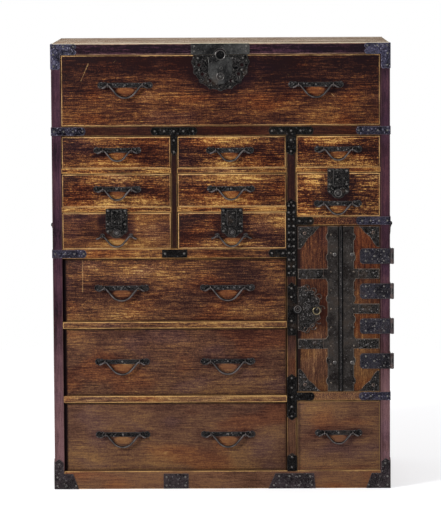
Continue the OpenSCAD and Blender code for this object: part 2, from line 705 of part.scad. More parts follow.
module frame_nails() color(old_iron) {
    shelf_nail_z = upper_shelf_z + strap_inset_z + strap_h / 2;
    inset = 6;
    mirrored_pair() {
        nail_row(case_w / 2 - inset, shelf_nail_z, case_w / 2 - strap_reach + 10, shelf_nail_z, 4);
        nail_row(case_w / 2 - inset, case_h - inset, case_w / 2 - corner_reach + 8, case_h - inset, 3);
        nail_row(case_w / 2 - inset, case_h - 24, case_w / 2 - inset, case_h - corner_drop + 8, 2);
        nail_row(case_w / 2 - inset, 8, case_w / 2 - foot_reach + 8, 8, 3);
        nail_row(case_w / 2 - inset, 28, case_w / 2 - side_board_t / 2, foot_rise - 12, 2);
    }
    for (x = [main_mid_x, small_mid_x])
        nail_row(x - tee_half + 10, shelf_nail_z, x + tee_half - 10, shelf_nail_z, 5);
    nail_row(main_mid_x, upper_shelf_z - 10, main_mid_x, upper_shelf_z - tee_leg + 10, 2);
    nail_row(small_mid_x, upper_shelf_z - 10, small_mid_x, upper_shelf_z - tee_leg + 10, 2);
    nail_row(-case_w / 2 + inset, middle_shelf_z + strap_inset_z + strap_h / 2,
        -case_w / 2 + strap_reach - 10, middle_shelf_z + strap_inset_z + strap_h / 2, 4);
    for (z = [safe_top_z, safe_z - safe_shelf_t])
        nail_row(case_w / 2 - inset, z + 1 + strap_h / 2, case_w / 2 - strap_reach + 18, z + 1 + strap_h / 2, 4);
    for (s = [-1, 1]) nail_row(main_mid_x + s * 5.5, middle_shelf_z - strip_under + 8,
        main_mid_x + s * 5.5, safe_top_z + strip_over - 16, 11);
    nail(main_mid_x, safe_top_z + strip_over - 8);
    nail_row(right_x + 8, safe_top_z + 1 + strap_h / 2, right_x + arm_reach - 10, safe_top_z + 1 + strap_h / 2, 2);
    nail_row(main_partition_x - 8, middle_shelf_z + strap_inset_z + strap_h / 2,
        main_partition_x - arm_reach + 10, middle_shelf_z + strap_inset_z + strap_h / 2, 2);
    for (s = [-1, 1]) for (z = [catch_half - 14, catch_half - 34])
        nail(main_mid_x, safe_mid_z + s * z);
    nail_row(main_mid_x, safe_z - safe_shelf_t - cross_under + 10, main_mid_x, safe_z + cross_over - 10, 5);
    nail_row(main_mid_x, foot_h + 14, main_mid_x, base_h + stub_rise - 10, 2);
    for (x = [-1, 1], z = [8, foot_h - 8]) nail(small_mid_x + x * (bottom_plate_w / 2 - 7), z);
    for (x = [-1, 1]) nail(small_mid_x + x * (bottom_plate_w / 2 - 7), middle_shelf_z + strap_inset_z + strap_h / 2);
    nail_row(main_mid_x - 42, 8, main_mid_x + 46, 8, 4);
    nail_row(main_mid_x - 30, foot_h - 7, main_mid_x + 42, foot_h - 7, 4);
    for (s = [-1, 1], z = [7, top_board_t - 6]) nail(s * (great_lock_d / 2 - 7), top_board_z + z);
}

// ---------- carrying bails ----------

module on_left_side() translate([-case_w / 2, 0, side_bail_z]) rotate([0, 0, -90]) children();
module on_right_side() translate([case_w / 2, 0, side_bail_z]) rotate([0, 0, 90]) children();

module side_bail_fittings() {
    color(iron) on_front(0, iron_t) plate_outline(large_span, large_plate_over);
    for (s = [-1, 1]) translate([s * large_span / 2, 0, 0]) eye(side_board_t);
}

module side_bail_plates() {
    on_left_side() side_bail_fittings();
    on_right_side() side_bail_fittings();
}

module side_bail() translate([0, -eye_standoff, 0]) bail(large_span, large_drop);

// ---------- safe door ----------

door_x0 = right_x + door_free_gap;
door_x1 = right_x + right_w - door_gap;
door_z0 = safe_z + run_gap;
door_z1 = safe_top_z - door_gap;
safe_mid_z = (safe_z + safe_top_z) / 2;
seam_x = door_x1 - seam_from_hinge;
hinge_x = case_w / 2 + hinge_out;
hinge_y = face_y - hinge_front;
knuckle_r = knuckle_d / 2;
knuckle_clear_r = knuckle_r + 0.4;
middle_knuckle_h = hinge_h * 0.36;

function hinge_z(i) = safe_mid_z + (i - (hinges_n - 1) / 2) * hinge_pitch;
function strap_z(i) = safe_mid_z + (i - (hinges_n - 2) / 2) * hinge_pitch;

// Two boards that meet at the seam.
module safe_door() color(lacquer) {
    block([door_x0, face_y, door_z0], [seam_x - joint_gap / 2, face_y + door_t, door_z1]);
    block([seam_x + joint_gap / 2, face_y, door_z0], [door_x1, face_y + door_t, door_z1]);
}

// A vertical slice of a hinge, centred at a height.
module slice(z, h) translate([0, 0, z - h / 2]) linear_extrude(h) children();

module hinge_axis() translate([hinge_x, hinge_y]) children();

// The door's half of a hinge: a strap over the frame, with two knuckles.
module hinge_strap(z) difference() {
    union() {
        on_front(face_y, hinge_strap_t) strap_front(z);
        slice(z, hinge_h) hinge_axis() circle(knuckle_r);
    }
    slice(z, middle_knuckle_h + 2 * knuckle_gap) hinge_axis() square(2 * knuckle_clear_r, center = true);
    slice(z, hinge_h + 2) hinge_axis() circle(d = pin_d + 2 * pin_play);
}
hinge_strap_t = 2;

module strap_front(z) {
    x0 = case_w / 2 - hinge_reach;
    r = 8;
    translate([x0 + r, z - hinge_h / 2]) square([hinge_x - x0 - r, hinge_h]);
    translate([x0, z - hinge_h / 2 + r]) square([r, hinge_h - 2 * r]);
    for (s = [-1, 1]) translate([x0 + r, z + s * (hinge_h / 2 - r)]) circle(r, $fn = fine);
}

// The case's half of a hinge: a leaf on the side with one knuckle, and the pin in it.
module side_leaf(z) {
    difference() {
        union() {
            block([case_w / 2, face_y, z - hinge_h / 2],
                [case_w / 2 + hinge_strap_t, face_y + hinge_leaf, z + hinge_h / 2]);
            slice(z, middle_knuckle_h) hinge_axis() circle(knuckle_r);
            block([case_w / 2, face_y, z - middle_knuckle_h / 2],
                [hinge_x, face_y + knuckle_r - hinge_front, z + middle_knuckle_h / 2]);
        }
        for (s = [-1, 1])
            slice(z + s * (hinge_h + middle_knuckle_h) / 4, (hinge_h - middle_knuckle_h) / 2 + 0.01)
                hinge_axis() circle(knuckle_clear_r + 0.6);
        slice(z, hinge_h + 2) hinge_axis() circle(d = pin_d);
    }
    color(old_iron) slice(z, hinge_h + 1.5) hinge_axis() circle(d = pin_d);
}

module hinge_leaves() color(iron) for (i = [0 : hinges_n - 1]) side_leaf(hinge_z(i));

// An iron band with a scalloped edge towards -X, drawn from its straight edge at x = 0.
scallop_pitch = 48;
scallop_r = 12;
module band_outline() {
    band_h = door_z1 - door_z0 - 2 * plate_inset;
    n = round(band_h / scallop_pitch);
    translate([0, door_z0 + plate_inset]) {
        translate([4 - band_w, 0]) square([band_w - 4, band_h]);
        for (i = [0 : n - 1]) translate([scallop_r - band_w, band_h * (i + 0.5) / n]) circle(scallop_r);
    }
}

// An ornate corner plate with its square corner at the origin, reaching +X and -Z.
module door_corner(w) difference() {
    polygon([[0, 0], [w, 0], [w * 0.86, -w * 0.12], [w * 0.7, -w * 0.32], [w * 0.45, -w * 0.52],
        [w * 0.3, -w * 0.78], [w * 0.12, -w], [0, -w]]);
    translate([w * 0.3, -w * 0.3]) circle(3.2, $fn = fine);
}

module door_plates() {
    free_x = door_x0 + plate_inset;
    back_x = door_x1 - plate_inset;
    band_x0 = seam_x - bead_w / 2 - bead_gap;
    band_x1 = seam_x + bead_w / 2 + bead_gap;
    // left board's band, corner plates and straps
    translate([band_x0, 0]) band_outline();
    translate([free_x, door_z1 - plate_inset]) door_corner(free_corner);
    translate([free_x, door_z0 + plate_inset]) mirror([0, 1]) door_corner(free_corner);
    for (i = [0, hinges_n - 2]) translate([free_x, strap_z(i) - short_strap_h / 2])
        square([band_x0 - band_w + scallop_r - free_x, short_strap_h]);
    // right board's band, corner plates and straps
    translate([band_x1, 0]) mirror([1, 0]) band_outline();
    translate([back_x, door_z1 - plate_inset]) mirror([1, 0]) door_corner(hinge_corner);
    translate([back_x, door_z0 + plate_inset]) mirror([1, 0]) mirror([0, 1]) door_corner(hinge_corner);
    for (i = [0 : hinges_n - 2]) translate([band_x1 + band_w - scallop_r, strap_z(i) - short_strap_h / 2])
        square([back_x - band_x1 - band_w + scallop_r, short_strap_h]);
    safe_lock_outline();
}

// The half-round lock plate on the door's free edge, with a cusped rim.
module safe_lock_outline() intersection() {
    translate([door_x0, safe_mid_z]) {
        circle(safe_lock_r - 5);
        for (a = [-72 : 24 : 72]) rotate(a) translate([safe_lock_r - 10, 0]) circle(10, $fn = fine);
    }
    translate([door_x0 + 0.5, safe_mid_z - safe_lock_r]) square([safe_lock_r, 2 * safe_lock_r]);
}

// The boss stands clear of the catch plate on the partition.
boss_lift = 0.4;
safe_key_x = door_x0 + 25;
safe_key_z = safe_mid_z + 6;
safe_case_in = 10;
bead_t = 3;
ring_x = door_x0 + ring_in;
ring_eye_z = safe_mid_z + 4;
ring_wire_r = ring_wire_d / 2;
ring_mid_r = ring_d / 2 - ring_wire_r;
ring_eye_wire_r = 1;
ring_eye_r = ring_wire_r + 0.4 + ring_eye_wire_r;
ring_standoff = ring_eye_r + ring_eye_wire_r + 0.4;
ring_y = face_y - iron_t - ring_standoff;

module safe_ironwork() {
    color(iron) {
        on_front(face_y, iron_t) door_plates();
        for (i = [0 : hinges_n - 1]) hinge_strap(hinge_z(i));
        on_front(face_y, bead_t) translate([seam_x - bead_w / 2, door_z0 + plate_inset])
            square([bead_w, door_z1 - door_z0 - 2 * plate_inset]);
    }
    color(old_iron) {
        union() {
            on_front(face_y - iron_t - boss_lift, boss_t) translate([door_x0, safe_mid_z]) circle(d = safe_boss_d);
            on_front(face_y - iron_t - joint_gap, 1) translate([door_x0 + safe_boss_d / 4, safe_mid_z])
                circle(d = safe_boss_d / 3);
        }
        on_front(face_y - iron_t - joint_gap, escutcheon_w) translate([safe_key_x, safe_key_z]) difference() {
            circle(escutcheon_r);
            circle(escutcheon_r - escutcheon_w);
        }
        block([door_x0 + safe_case_in, face_y + door_t + joint_gap, safe_mid_z - lock_case_h / 2],
            [door_x0 + safe_case_in + lock_case_w, face_y + door_t + lock_case_t, safe_mid_z + lock_case_h / 2]);
        union() {
            translate([ring_x, ring_y, ring_eye_z]) rotate([0, 90, 0])
                rotate_extrude() translate([ring_eye_r, 0]) circle(ring_eye_wire_r, $fn = fine);
            translate([ring_x, face_y - iron_t - joint_gap, ring_eye_z]) rotate([90, 0, 0])
                cylinder(h = ring_standoff - ring_eye_r, r = ring_eye_wire_r, $fn = fine);
        }
        for (i = [0 : hinges_n - 1], p = [[14, 11], [14, -11], [34, 0], [56, 11], [56, -11]])
            nail(case_w / 2 - hinge_reach + p[0], hinge_z(i) + p[1], face_y - hinge_strap_t);
    }
}

module safe_ring() color(old_iron) translate([ring_x, ring_y, ring_eye_z - ring_mid_r]) rotate([90, 0, 0])
    rotate_extrude() translate([ring_mid_r, 0]) circle(ring_wire_r, $fn = fine);

// ---------- the nodes ----------

side_boards();
top_board();
base();
back_boards();
shelves();
partitions();
rails();
runners();
frame_straps();
frame_nails();
hinge_leaves();
side_bail_plates();
for (d = DRAWERS) drawer(d);
for (d = DRAWERS) drawer_fittings(d);
for (d = DRAWERS, i = [0 : len(d[6]) - 1])
    drawer_bail(d, d[6][i]);
on_left_side() side_bail();  // bail_side_left
on_right_side() side_bail();  // bail_side_right
safe_door();
safe_ironwork();
safe_ring();
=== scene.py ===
# %% [markdown]
# # A merchant's chest
# A chest of drawers with an iron-bound safe door, as it stood in a shop. Every board, plate and
# nail comes from the CAD model with its size and its joint. This notebook gives them their
# surfaces: worn arrises, wiped lacquer over straight grain, and blackened iron.

# %% Load the frame
import json
import math
import bmesh
import bpy
from mathutils import Matrix, Vector


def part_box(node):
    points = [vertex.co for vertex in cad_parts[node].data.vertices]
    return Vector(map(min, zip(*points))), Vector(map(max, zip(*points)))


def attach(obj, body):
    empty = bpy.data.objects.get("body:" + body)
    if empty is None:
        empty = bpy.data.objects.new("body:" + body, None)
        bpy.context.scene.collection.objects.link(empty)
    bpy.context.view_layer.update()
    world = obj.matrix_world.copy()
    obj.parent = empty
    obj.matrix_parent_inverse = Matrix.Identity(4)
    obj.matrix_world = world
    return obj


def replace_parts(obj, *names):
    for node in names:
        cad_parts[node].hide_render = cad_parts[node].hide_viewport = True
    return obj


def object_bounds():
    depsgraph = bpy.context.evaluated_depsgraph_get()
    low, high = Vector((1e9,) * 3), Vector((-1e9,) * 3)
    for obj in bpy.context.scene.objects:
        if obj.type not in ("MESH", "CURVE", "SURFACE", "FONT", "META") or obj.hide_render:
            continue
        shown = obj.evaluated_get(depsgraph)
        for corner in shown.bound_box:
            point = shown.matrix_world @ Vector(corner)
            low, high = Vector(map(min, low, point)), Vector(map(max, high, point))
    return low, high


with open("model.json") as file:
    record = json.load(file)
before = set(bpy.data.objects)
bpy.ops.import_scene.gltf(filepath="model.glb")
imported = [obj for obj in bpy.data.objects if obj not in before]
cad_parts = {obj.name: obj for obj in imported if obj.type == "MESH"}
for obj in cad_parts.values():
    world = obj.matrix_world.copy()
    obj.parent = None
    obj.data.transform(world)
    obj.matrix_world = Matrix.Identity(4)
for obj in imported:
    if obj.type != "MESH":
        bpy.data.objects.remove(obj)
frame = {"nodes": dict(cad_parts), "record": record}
cad_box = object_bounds()
bodies = frame["record"]["behaviour"]["bodies"]
print("nodes", len(frame["nodes"]), "box", [round(c, 3) for corner in cad_box for c in corner])

# %% [markdown]
# ## The camera
# The photograph was taken from far away, a little above the middle of the chest. A camera could be
# placed by eye. Here turn, tilt and lens come from matching the chest's corners to the photograph,
# because a wrong distance makes the stiles lean.

# %% Camera
LENS_PIXELS, LONG_SIDE, RAISED_PIXELS = 2958, 532, 60
CAMERA_AT = (0.045, -7.0, 1.281)
turn, tilt, lean = (math.radians(a) for a in (0.39, -5.21, 0.30))
facing = (Matrix.Rotation(turn, 4, "Z") @ Matrix.Rotation(tilt, 4, "X")
          @ Matrix.Rotation(lean, 4, "Y") @ Matrix.Rotation(math.radians(90), 4, "X"))
bpy.ops.object.camera_add()
camera = bpy.context.object
camera.name = "camera"
camera.matrix_world = Matrix.Translation(CAMERA_AT) @ facing
camera.data.lens = LENS_PIXELS / LONG_SIDE * camera.data.sensor_width
camera.data.shift_y = -RAISED_PIXELS / LONG_SIDE
bpy.context.scene.camera = camera
bpy.context.scene.view_settings.view_transform = "Standard"
print("lens", round(camera.data.lens, 1), "mm")

# %% [markdown]
# ## A recipe for a finish
# A finish is a chain of shader nodes: noise, masks and mixes of colour. They could be drawn in the
# shader editor, but this chest needs hundreds. A helper adds them in reading order, like a workshop
# recipe, with colours as on a screen, 0 to 255.


# %% Recipe helper
def paint(red, green, blue):
    """A screen colour in Blender's linear values."""
    def linear(c):
        c /= 255
        return c / 12.92 if c <= 0.04045 else ((c + 0.055) / 1.055) ** 2.4
    return (linear(red), linear(green), linear(blue), 1)


class Recipe:
    """A material's or a world's nodes, and short calls that add to them."""

    def __init__(self, owner):
        owner.use_nodes = True
        self.owner = owner
        self.tree = owner.node_tree
        self.coordinates = self.add("TexCoord").outputs
        self.place = self.coordinates["Object"]

    def add(self, kind, inputs=(), **settings):
        node = self.tree.nodes.new("ShaderNode" + kind)
        for key, value in settings.items():
            setattr(node, key, value)
        for key, value in dict(inputs).items():
            self.feed(node.inputs[key], value)
        return node

    def feed(self, socket, value):
        if isinstance(value, bpy.types.NodeSocket):
            self.tree.links.new(value, socket)
        else:
            socket.default_value = value

    def maths(self, operation, *values, clamp=False):
        node = self.add("Math", dict(enumerate(values)), operation=operation)
        node.use_clamp = clamp
        return node.outputs[0]

    def less(self, first, second):
        return self.maths("SUBTRACT", first, second)

    def most(self, first, second):
        return self.maths("MAXIMUM", first, second)

    def total(self, first, *others):
        for other in others:
            first = self.maths("ADD", first, other)
        return first

    def times(self, first, *others):
        for other in others:
            first = self.maths("MULTIPLY", first, other)
        return first

    def squares(self, first, second):
        return self.total(self.times(first, first), self.times(second, second))

    def vector(self, operation, *values, out=0):
        return self.add("VectorMath", dict(enumerate(values)), operation=operation).outputs[out]

    def scaled(self, vector, amount):
        return self.add("VectorMath", {0: vector, 3: amount}, operation="SCALE").outputs[0]

    def split(self, vector):
        return self.add("SeparateXYZ", {0: vector}).outputs

    def note(self, name, output="Vector"):
        return self.add("Attribute", attribute_name=name).outputs[output]

    def step(self, value, low, high, to_low=0, to_high=1):
        """A soft step: to_low below low, to_high above high."""
        return self.add("MapRange", {"Value": value, "From Min": low, "From Max": high,
                                     "To Min": to_low, "To Max": to_high},
                        interpolation_type="SMOOTHSTEP").outputs["Result"]

    def oval(self, across, up, radii, outer, inner, *uneven):
        """1 inside an oval and 0 outside, fading from inner to outer times its radii."""
        wide, flat = self.maths("DIVIDE", across, radii[0]), self.maths("DIVIDE", up, radii[1])
        return self.step(self.total(self.squares(wide, flat), *uneven), outer, inner)

    def grain(self, place, scale, detail=2, rough=0.5, bend=0):
        return self.add("TexNoise", {"Vector": place, "Scale": scale, "Detail": detail,
                                     "Roughness": rough, "Distortion": bend}).outputs["Fac"]

    def sway(self, value, amount):
        """A noise value around zero, scaled."""
        return self.times(self.less(value, 0.5), amount)

    def mix(self, share, first, second):
        node = self.add("Mix", data_type="RGBA")
        for index, value in ((0, share), (6, first), (7, second)):
            self.feed(node.inputs[index], value)
        return node.outputs[2]

    def ramp(self, value, colours):
        """Even stops, the first colour at 0 and the last at 1."""
        node = self.add("ValToRGB", {0: value})
        stops = node.color_ramp.elements
        for number, colour in enumerate(colours):
            stop = stops[number] if number < 2 else stops.new(1)
            stop.position = number / (len(colours) - 1)
            stop.color = paint(*colour)
        return node.outputs[0]

    def relief(self, height, depth, strength):
        return self.add("Bump", {"Height": height, "Distance": depth, "Strength": strength}).outputs["Normal"]

    def finish(self, colour, roughness, normal, gloss, metallic=0.0):
        shader = self.tree.nodes["Principled BSDF"]
        for key, value in (("Base Color", colour), ("Roughness", roughness), ("Normal", normal),
                           ("Metallic", metallic), ("Specular IOR Level", gloss)):
            self.feed(shader.inputs[key], value)
        return self.owner


print("a recipe has", sum(not name.startswith("_") for name in vars(Recipe)), "calls")

# %% [markdown]
# ## The floor
# The chest stands on paper that catches its shadow and fades into white. A curved wall would do it,
# as in a studio, but a plane that turns clear with distance leaves no horizon. To the camera it
# glows a little, which makes it near white and keeps the shadow.

# %% Floor
FADE_FROM, FADE_TO = 0.9, 2.4
bpy.ops.mesh.primitive_plane_add(size=9)
floor = bpy.context.object
floor.name = "floor"
paper = Recipe(bpy.data.materials.new("floor_paper"))
spot = paper.split(paper.place)
reach = paper.maths("SQRT", paper.squares(spot[0], spot[1]))
seen = paper.add("LightPath").outputs["Is Camera Ray"]
matt = paper.add("BsdfDiffuse", {"Color": paint(225, 225, 228)})
lift = paper.add("Emission", {"Color": (1, 1, 1, 1), "Strength": paper.times(seen, 0.53)})
lit = paper.add("AddShader", {0: matt.outputs[0], 1: lift.outputs[0]})
clear = paper.add("BsdfTransparent")
sweep = paper.add("MixShader", {0: paper.step(reach, FADE_FROM, FADE_TO),
                                1: lit.outputs[0], 2: clear.outputs[0]})
paper.feed(paper.tree.nodes["Material Output"].inputs["Surface"], sweep.outputs[0])
floor.data.materials.append(paper.owner)
print("floor clear beyond", FADE_TO, "m")

# %% [markdown]
# ## The surround
# The photograph's ground is white. A white world would flood the chest with light and take the
# shine off the iron. So it is white only to the camera, and to mirrors that look to the back.

# %% Surround
SOFT_LIGHT, TOWARDS_BACK = 0.42, 0.5
world = bpy.data.worlds.new("surround")
bpy.context.scene.world = world
air = Recipe(world)
rays = air.add("LightPath").outputs
backwards = air.maths("GREATER_THAN", air.split(air.coordinates["Generated"])[1], TOWARDS_BACK)
white = air.times(backwards, rays["Is Glossy Ray"])
for ray in ("Is Camera Ray", "Is Transmission Ray"):
    white = air.most(white, rays[ray])
air.feed(air.tree.nodes["Background"].inputs["Strength"], air.step(white, 0, 1, SOFT_LIGHT, 1.0))
air.feed(air.tree.nodes["Background"].inputs["Color"], (1, 1, 1, 1))
print("surround lights the chest by", SOFT_LIGHT)

# %% [markdown]
# ## The lamps
# The photograph's shadows come from one large soft lamp high on the left. A sun would cut them
# hard, so area lamps are used: the key, a weaker one on the right that opens the shadows, and one
# behind for the top and the floor.


# %% Lamps
def lamp(name, at, size, power):
    """A soft square lamp that looks at the middle of the chest."""
    bpy.ops.object.light_add(type="AREA", location=at)
    light = bpy.context.object
    light.name = name
    light.rotation_euler = (Vector((0, 0, 0.5)) - Vector(at)).to_track_quat("-Z", "Y").to_euler()
    light.data.size, light.data.energy = size, power
    light.visible_camera = False


lamp("key", (-3.5, -3.1, 2.5), 1.1, 185)
lamp("fill", (2.0, -4.6, 1.4), 2.4, 40)
lamp("back", (0.6, 3.2, 3.0), 2.0, 34)

# %% [markdown]
# ## Taking a piece from the frame
# A CAD node arrives as loose triangles, which don't bevel well. It could be modelled anew, but then
# its size would be typed again. So a copy is merged into clean faces and dressed, and the CAD node
# is hidden in its place.


# %% Copying and selecting
def only(piece):
    """Select one piece and nothing else."""
    bpy.ops.object.select_all(action="DESELECT")
    piece.select_set(True)
    bpy.context.view_layer.objects.active = piece


def edit(piece, *steps):
    """Run edit-mode steps, each on the whole piece."""
    only(piece)
    bpy.ops.object.mode_set(mode="EDIT")
    for step in steps:
        bpy.ops.mesh.select_all(action="SELECT")
        step()
    bpy.ops.object.mode_set(mode="OBJECT")


def merge(flatten=False):
    """In edit mode, join corners that meet, and flat faces that lie side by side."""
    bpy.ops.mesh.remove_doubles(threshold=0.00001)
    if flatten:
        bpy.ops.mesh.dissolve_limited(angle_limit=math.radians(1))


def bevel(width, steps):
    bpy.ops.mesh.bevel(offset=width, segments=steps, affect="EDGES", clamp_overlap=True)


def copy_of(source, name):
    """A copy of an object with its own mesh and no finish."""
    piece = bpy.data.objects.new(name, source.data.copy())
    bpy.context.scene.collection.objects.link(piece)
    piece.data.materials.clear()
    only(piece)
    return piece


def take(node, name, flatten=True):
    """A merged copy of a node, standing for it and riding with its body."""
    piece = copy_of(frame["nodes"][node], name)
    bpy.ops.mesh.customdata_custom_splitnormals_clear()
    edit(piece, lambda: merge(flatten))
    body = next(b for b, nodes in bodies.items() if node in nodes)
    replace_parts(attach(piece, body), node)
    return piece


def pick(piece, kind, wanted, *steps):
    """Run edit-mode steps on the corners, edges or faces that wanted() accepts, and count them."""
    only(piece)
    bpy.ops.object.mode_set(mode="EDIT")
    bpy.ops.mesh.select_mode(type=kind)
    bpy.ops.mesh.select_all(action="DESELECT")
    mesh = bmesh.from_edit_mesh(piece.data)
    count = 0
    for part in {"VERT": mesh.verts, "EDGE": mesh.edges, "FACE": mesh.faces}[kind]:
        if wanted(part):
            part.select = True
            count += 1
    mesh.select_flush_mode()
    bmesh.update_edit_mesh(piece.data)
    for step in steps:
        step()
    bpy.ops.object.mode_set(mode="OBJECT")
    return count


# %% [markdown]
# ## The loose parts of a piece
# One node holds many boards, or many plates and nails. Split into objects, one piece would become
# fifty. Instead joined corners are grouped and measured, and faces get their finish by group.


# %% Grouping
def parts_of(piece):
    """A piece's loose parts: vertices, faces, lowest and highest corner."""
    mesh = piece.data
    group = list(range(len(mesh.vertices)))

    def root(v):
        while group[v] != v:
            group[v] = group[group[v]]
            v = group[v]
        return v

    for edge in mesh.edges:
        group[root(edge.vertices[0])] = root(edge.vertices[1])
    found = {}
    for v in range(len(mesh.vertices)):
        found.setdefault(root(v), ([], []))[0].append(v)
    for face in mesh.polygons:
        found[root(face.vertices[0])][1].append(face.index)
    result = []
    for verts, faces in found.values():
        spots = [mesh.vertices[v].co for v in verts]
        low, high = (Vector([end(p[i] for p in spots) for i in range(3)]) for end in (min, max))
        result.append((verts, faces, low, high))
    return sorted(result, key=lambda part: tuple(round(c, 4) for c in (*part[2], *part[3])))


def coat(piece, faces, finish):
    """Give some faces of a piece a finish."""
    known = [m.name for m in piece.data.materials]
    if finish.name not in known:
        piece.data.materials.append(finish)
        known.append(finish.name)
    for face in faces:
        piece.data.polygons[face].material_index = known.index(finish.name)


print("loose faces in the unmerged side boards", len(parts_of(frame["nodes"]["side_boards"])))

# %% [markdown]
# ## Lacquered wood: the board and its noises
# The boards are softwood under a wiped lacquer, which a century of hands has rubbed through. Wear
# could be painted on an image, but noise that each board stretches along its own grain suits forty
# boards at once and stays sharp from near. It reads notes on the mesh about its board.

# %% What a wood finish knows of its board
SEED_SHIFT = (3.7, 5.3, 7.9)
HALF_GRAIN, HALF_PLAIN = (0.86, 0.86, 0.86), (0.14, 0.14, 0.14)
RING_DRIFT = 0.008


class Board(Recipe):
    """The notes on a board, and the noises that its marks share."""

    def __init__(self, name, zone):
        super().__init__(bpy.data.materials.new(name))
        low, high = self.note("board_low"), self.note("board_high")
        self.wear, self.rub, seed = self.split(self.note("wear_kind"))
        self.foot, self.head, self.lines = self.split(self.note("wear_place"))
        self.grime, self.scratched, self.belt = self.split(self.note("wear_and_shade_marks"))
        self.here = self.split(self.place)
        self.spot = self.vector("ADD", self.place, self.scaled(SEED_SHIFT, seed))
        self.measure_edges(low, high)
        self.grow_grain(zone)

    def measure_edges(self, low, high):
        """How far the nearest arris and the left end are, and how high a spot lies."""
        here = self.place
        from_low, from_high = self.vector("SUBTRACT", here, low), self.vector("SUBTRACT", high, here)
        near = self.split(self.vector("MINIMUM", from_low, from_high))
        second = self.maths("MINIMUM", self.most(near[0], near[1]), near[2])
        self.edge = self.most(self.maths("MINIMUM", near[0], near[1]), second)
        self.left = self.split(from_low)[0]
        share = self.split(self.vector("DIVIDE", from_low, self.vector("SUBTRACT", high, low)))
        self.across, self.rise = share[0], share[2]

    def grow_grain(self, zone):
        """Rings, streaks and fibres along the grain, dashes, and marks of wear."""
        stretch = self.note("grain")
        along = self.vector("MULTIPLY", self.spot, stretch)
        half = self.vector("MULTIPLY_ADD", stretch, HALF_GRAIN, HALF_PLAIN)
        short = self.vector("MULTIPLY", self.spot, half)
        drift = self.add("TexNoise", {"Vector": along, "Scale": 20, "Detail": 1}).outputs["Color"]
        bow = self.scaled(self.vector("SUBTRACT", drift, (0.5, 0.5, 0.5)), RING_DRIFT)
        bowed = self.vector("ADD", along, bow)
        self.patches = self.grain(self.vector("MULTIPLY", self.spot, zone), 7, 3, 0.55)
        self.rings = self.grain(bowed, 90, 3, 0.6)
        self.streaks = self.grain(bowed, 430, 2, 0.6)
        self.dashes = self.grain(short, 460, 2, 0.6)
        self.ticks = self.grain(self.vector("MULTIPLY", self.spot, (1, 1, 0.22)), 330, 2, 0.6)
        self.specks = self.grain(self.vector("MULTIPLY", self.spot, (1, 1, 1.3)), 380, 2, 0.7)
        self.fibres = self.grain(along, 620, 2, 0.6)


print("a growth ring drifts by", RING_DRIFT)

# %% [markdown]
# ## Lacquered wood: how far it is worn
# Hands rub a drawer at its foot, above and below the bail, and under it. Behind the bail a belt
# stays dark, and so does the wood around a lock. All this adds up to one tone, 0 for whole lacquer
# and 1 for bare wood, so that marks can cross without covering each other.

# %% Tone
HANDS_AT = (("hand_above", 0.84, 0.3), ("hand_below", 0.08, 0.34))
HAND_WIDTH, BELT_MIDDLE = 0.34, 0.47
PALM_DROP, PALM_OVAL, PLATE_OVAL = 0.0125, (0.0215, 0.0088), (0.078, 0.017)


def wear_tone(r, rougher, zoned):
    """The tone from grain, place on the board and the hands that rubbed it."""
    uneven = r.total(r.sway(r.rings, 0.55), r.sway(r.streaks, 1.35), r.sway(r.dashes, 0.9),
                     r.sway(r.ticks, 0.3), r.sway(r.specks, 1.3), r.times(r.step(r.dashes, 0.6, 0.74), 0.12))
    zones = r.times(r.sway(r.patches, 1.05 * zoned), r.maths("MULTIPLY_ADD", r.rub, 0.5, 0.6))
    off_belt = r.maths("ABSOLUTE", r.less(r.rise, BELT_MIDDLE))
    tone = r.total(r.wear, r.times(uneven, r.rub, rougher), zones,
                   r.times(r.foot, r.step(r.rise, 0.5, 0.03)),
                   r.times(r.head, r.step(r.rise, 0.35, 0.95), -1),
                   r.times(r.belt, r.step(off_belt, 0.3, 0.12), -1))
    for key, middle, height in HANDS_AT:
        strength, where, _ = r.split(r.note(key))
        rubbed = r.oval(r.less(r.across, where), r.less(r.rise, middle), (HAND_WIDTH, height), 1.25, 0.1,
                        r.sway(r.patches, 1.4), r.sway(r.rings, 0.5))
        tone = r.total(tone, r.times(strength, rubbed))
    return tone


def handle_marks(r, tone):
    """The palms' spots under the bails, and the tone with them and the dark places."""
    under, around = [], []
    for pull in ("pull_one", "pull_two"):
        away = r.split(r.vector("SUBTRACT", r.place, r.note(pull)))
        under.append(r.oval(away[0], r.total(away[2], PALM_DROP), PALM_OVAL, 1.25, 0.5))
        around.append(r.oval(away[0], away[2], PLATE_OVAL, 1.3, 0.5))
    palms, belts = r.most(*under), r.most(*around)
    across, up, size = r.split(r.note("lock_spot"))
    to_lock = r.maths("SQRT", r.squares(r.less(r.here[0], across), r.less(r.here[2], up)))
    near_lock = r.step(r.maths("DIVIDE", to_lock, size), 1.35, 0.95)
    return palms, r.total(tone, r.times(palms, 0.2), r.times(belts, r.less(1, palms), -0.16),
                          r.times(near_lock, -0.3))


print("hands reach", HAND_WIDTH, "of a board to each side")

# %% [markdown]
# ## Lacquered wood: coats and bare marks
# The tone picks from a row of four coats, sheltered to bare. One row would miss how the foot of the
# chest has faded, so two are blended by height. A wide noise turns some places redder and others
# cooler. Pale marks lie on top: broken lines along the arrises, nicks, and long scratches.

# %% Colour
RED_TINT, COOL_TINT, SIDE_TINT = (1.16, 0.84, 0.68), (0.88, 0.92, 1.3), (0.98, 0.93, 0.66)
PALM_COLOURS = paint(120, 76, 50), paint(132, 78, 46)
# The colour of the painted shade at the boards' left ends and edges.
PAINTED_SHADE_COLOUR = paint(22, 13, 16)


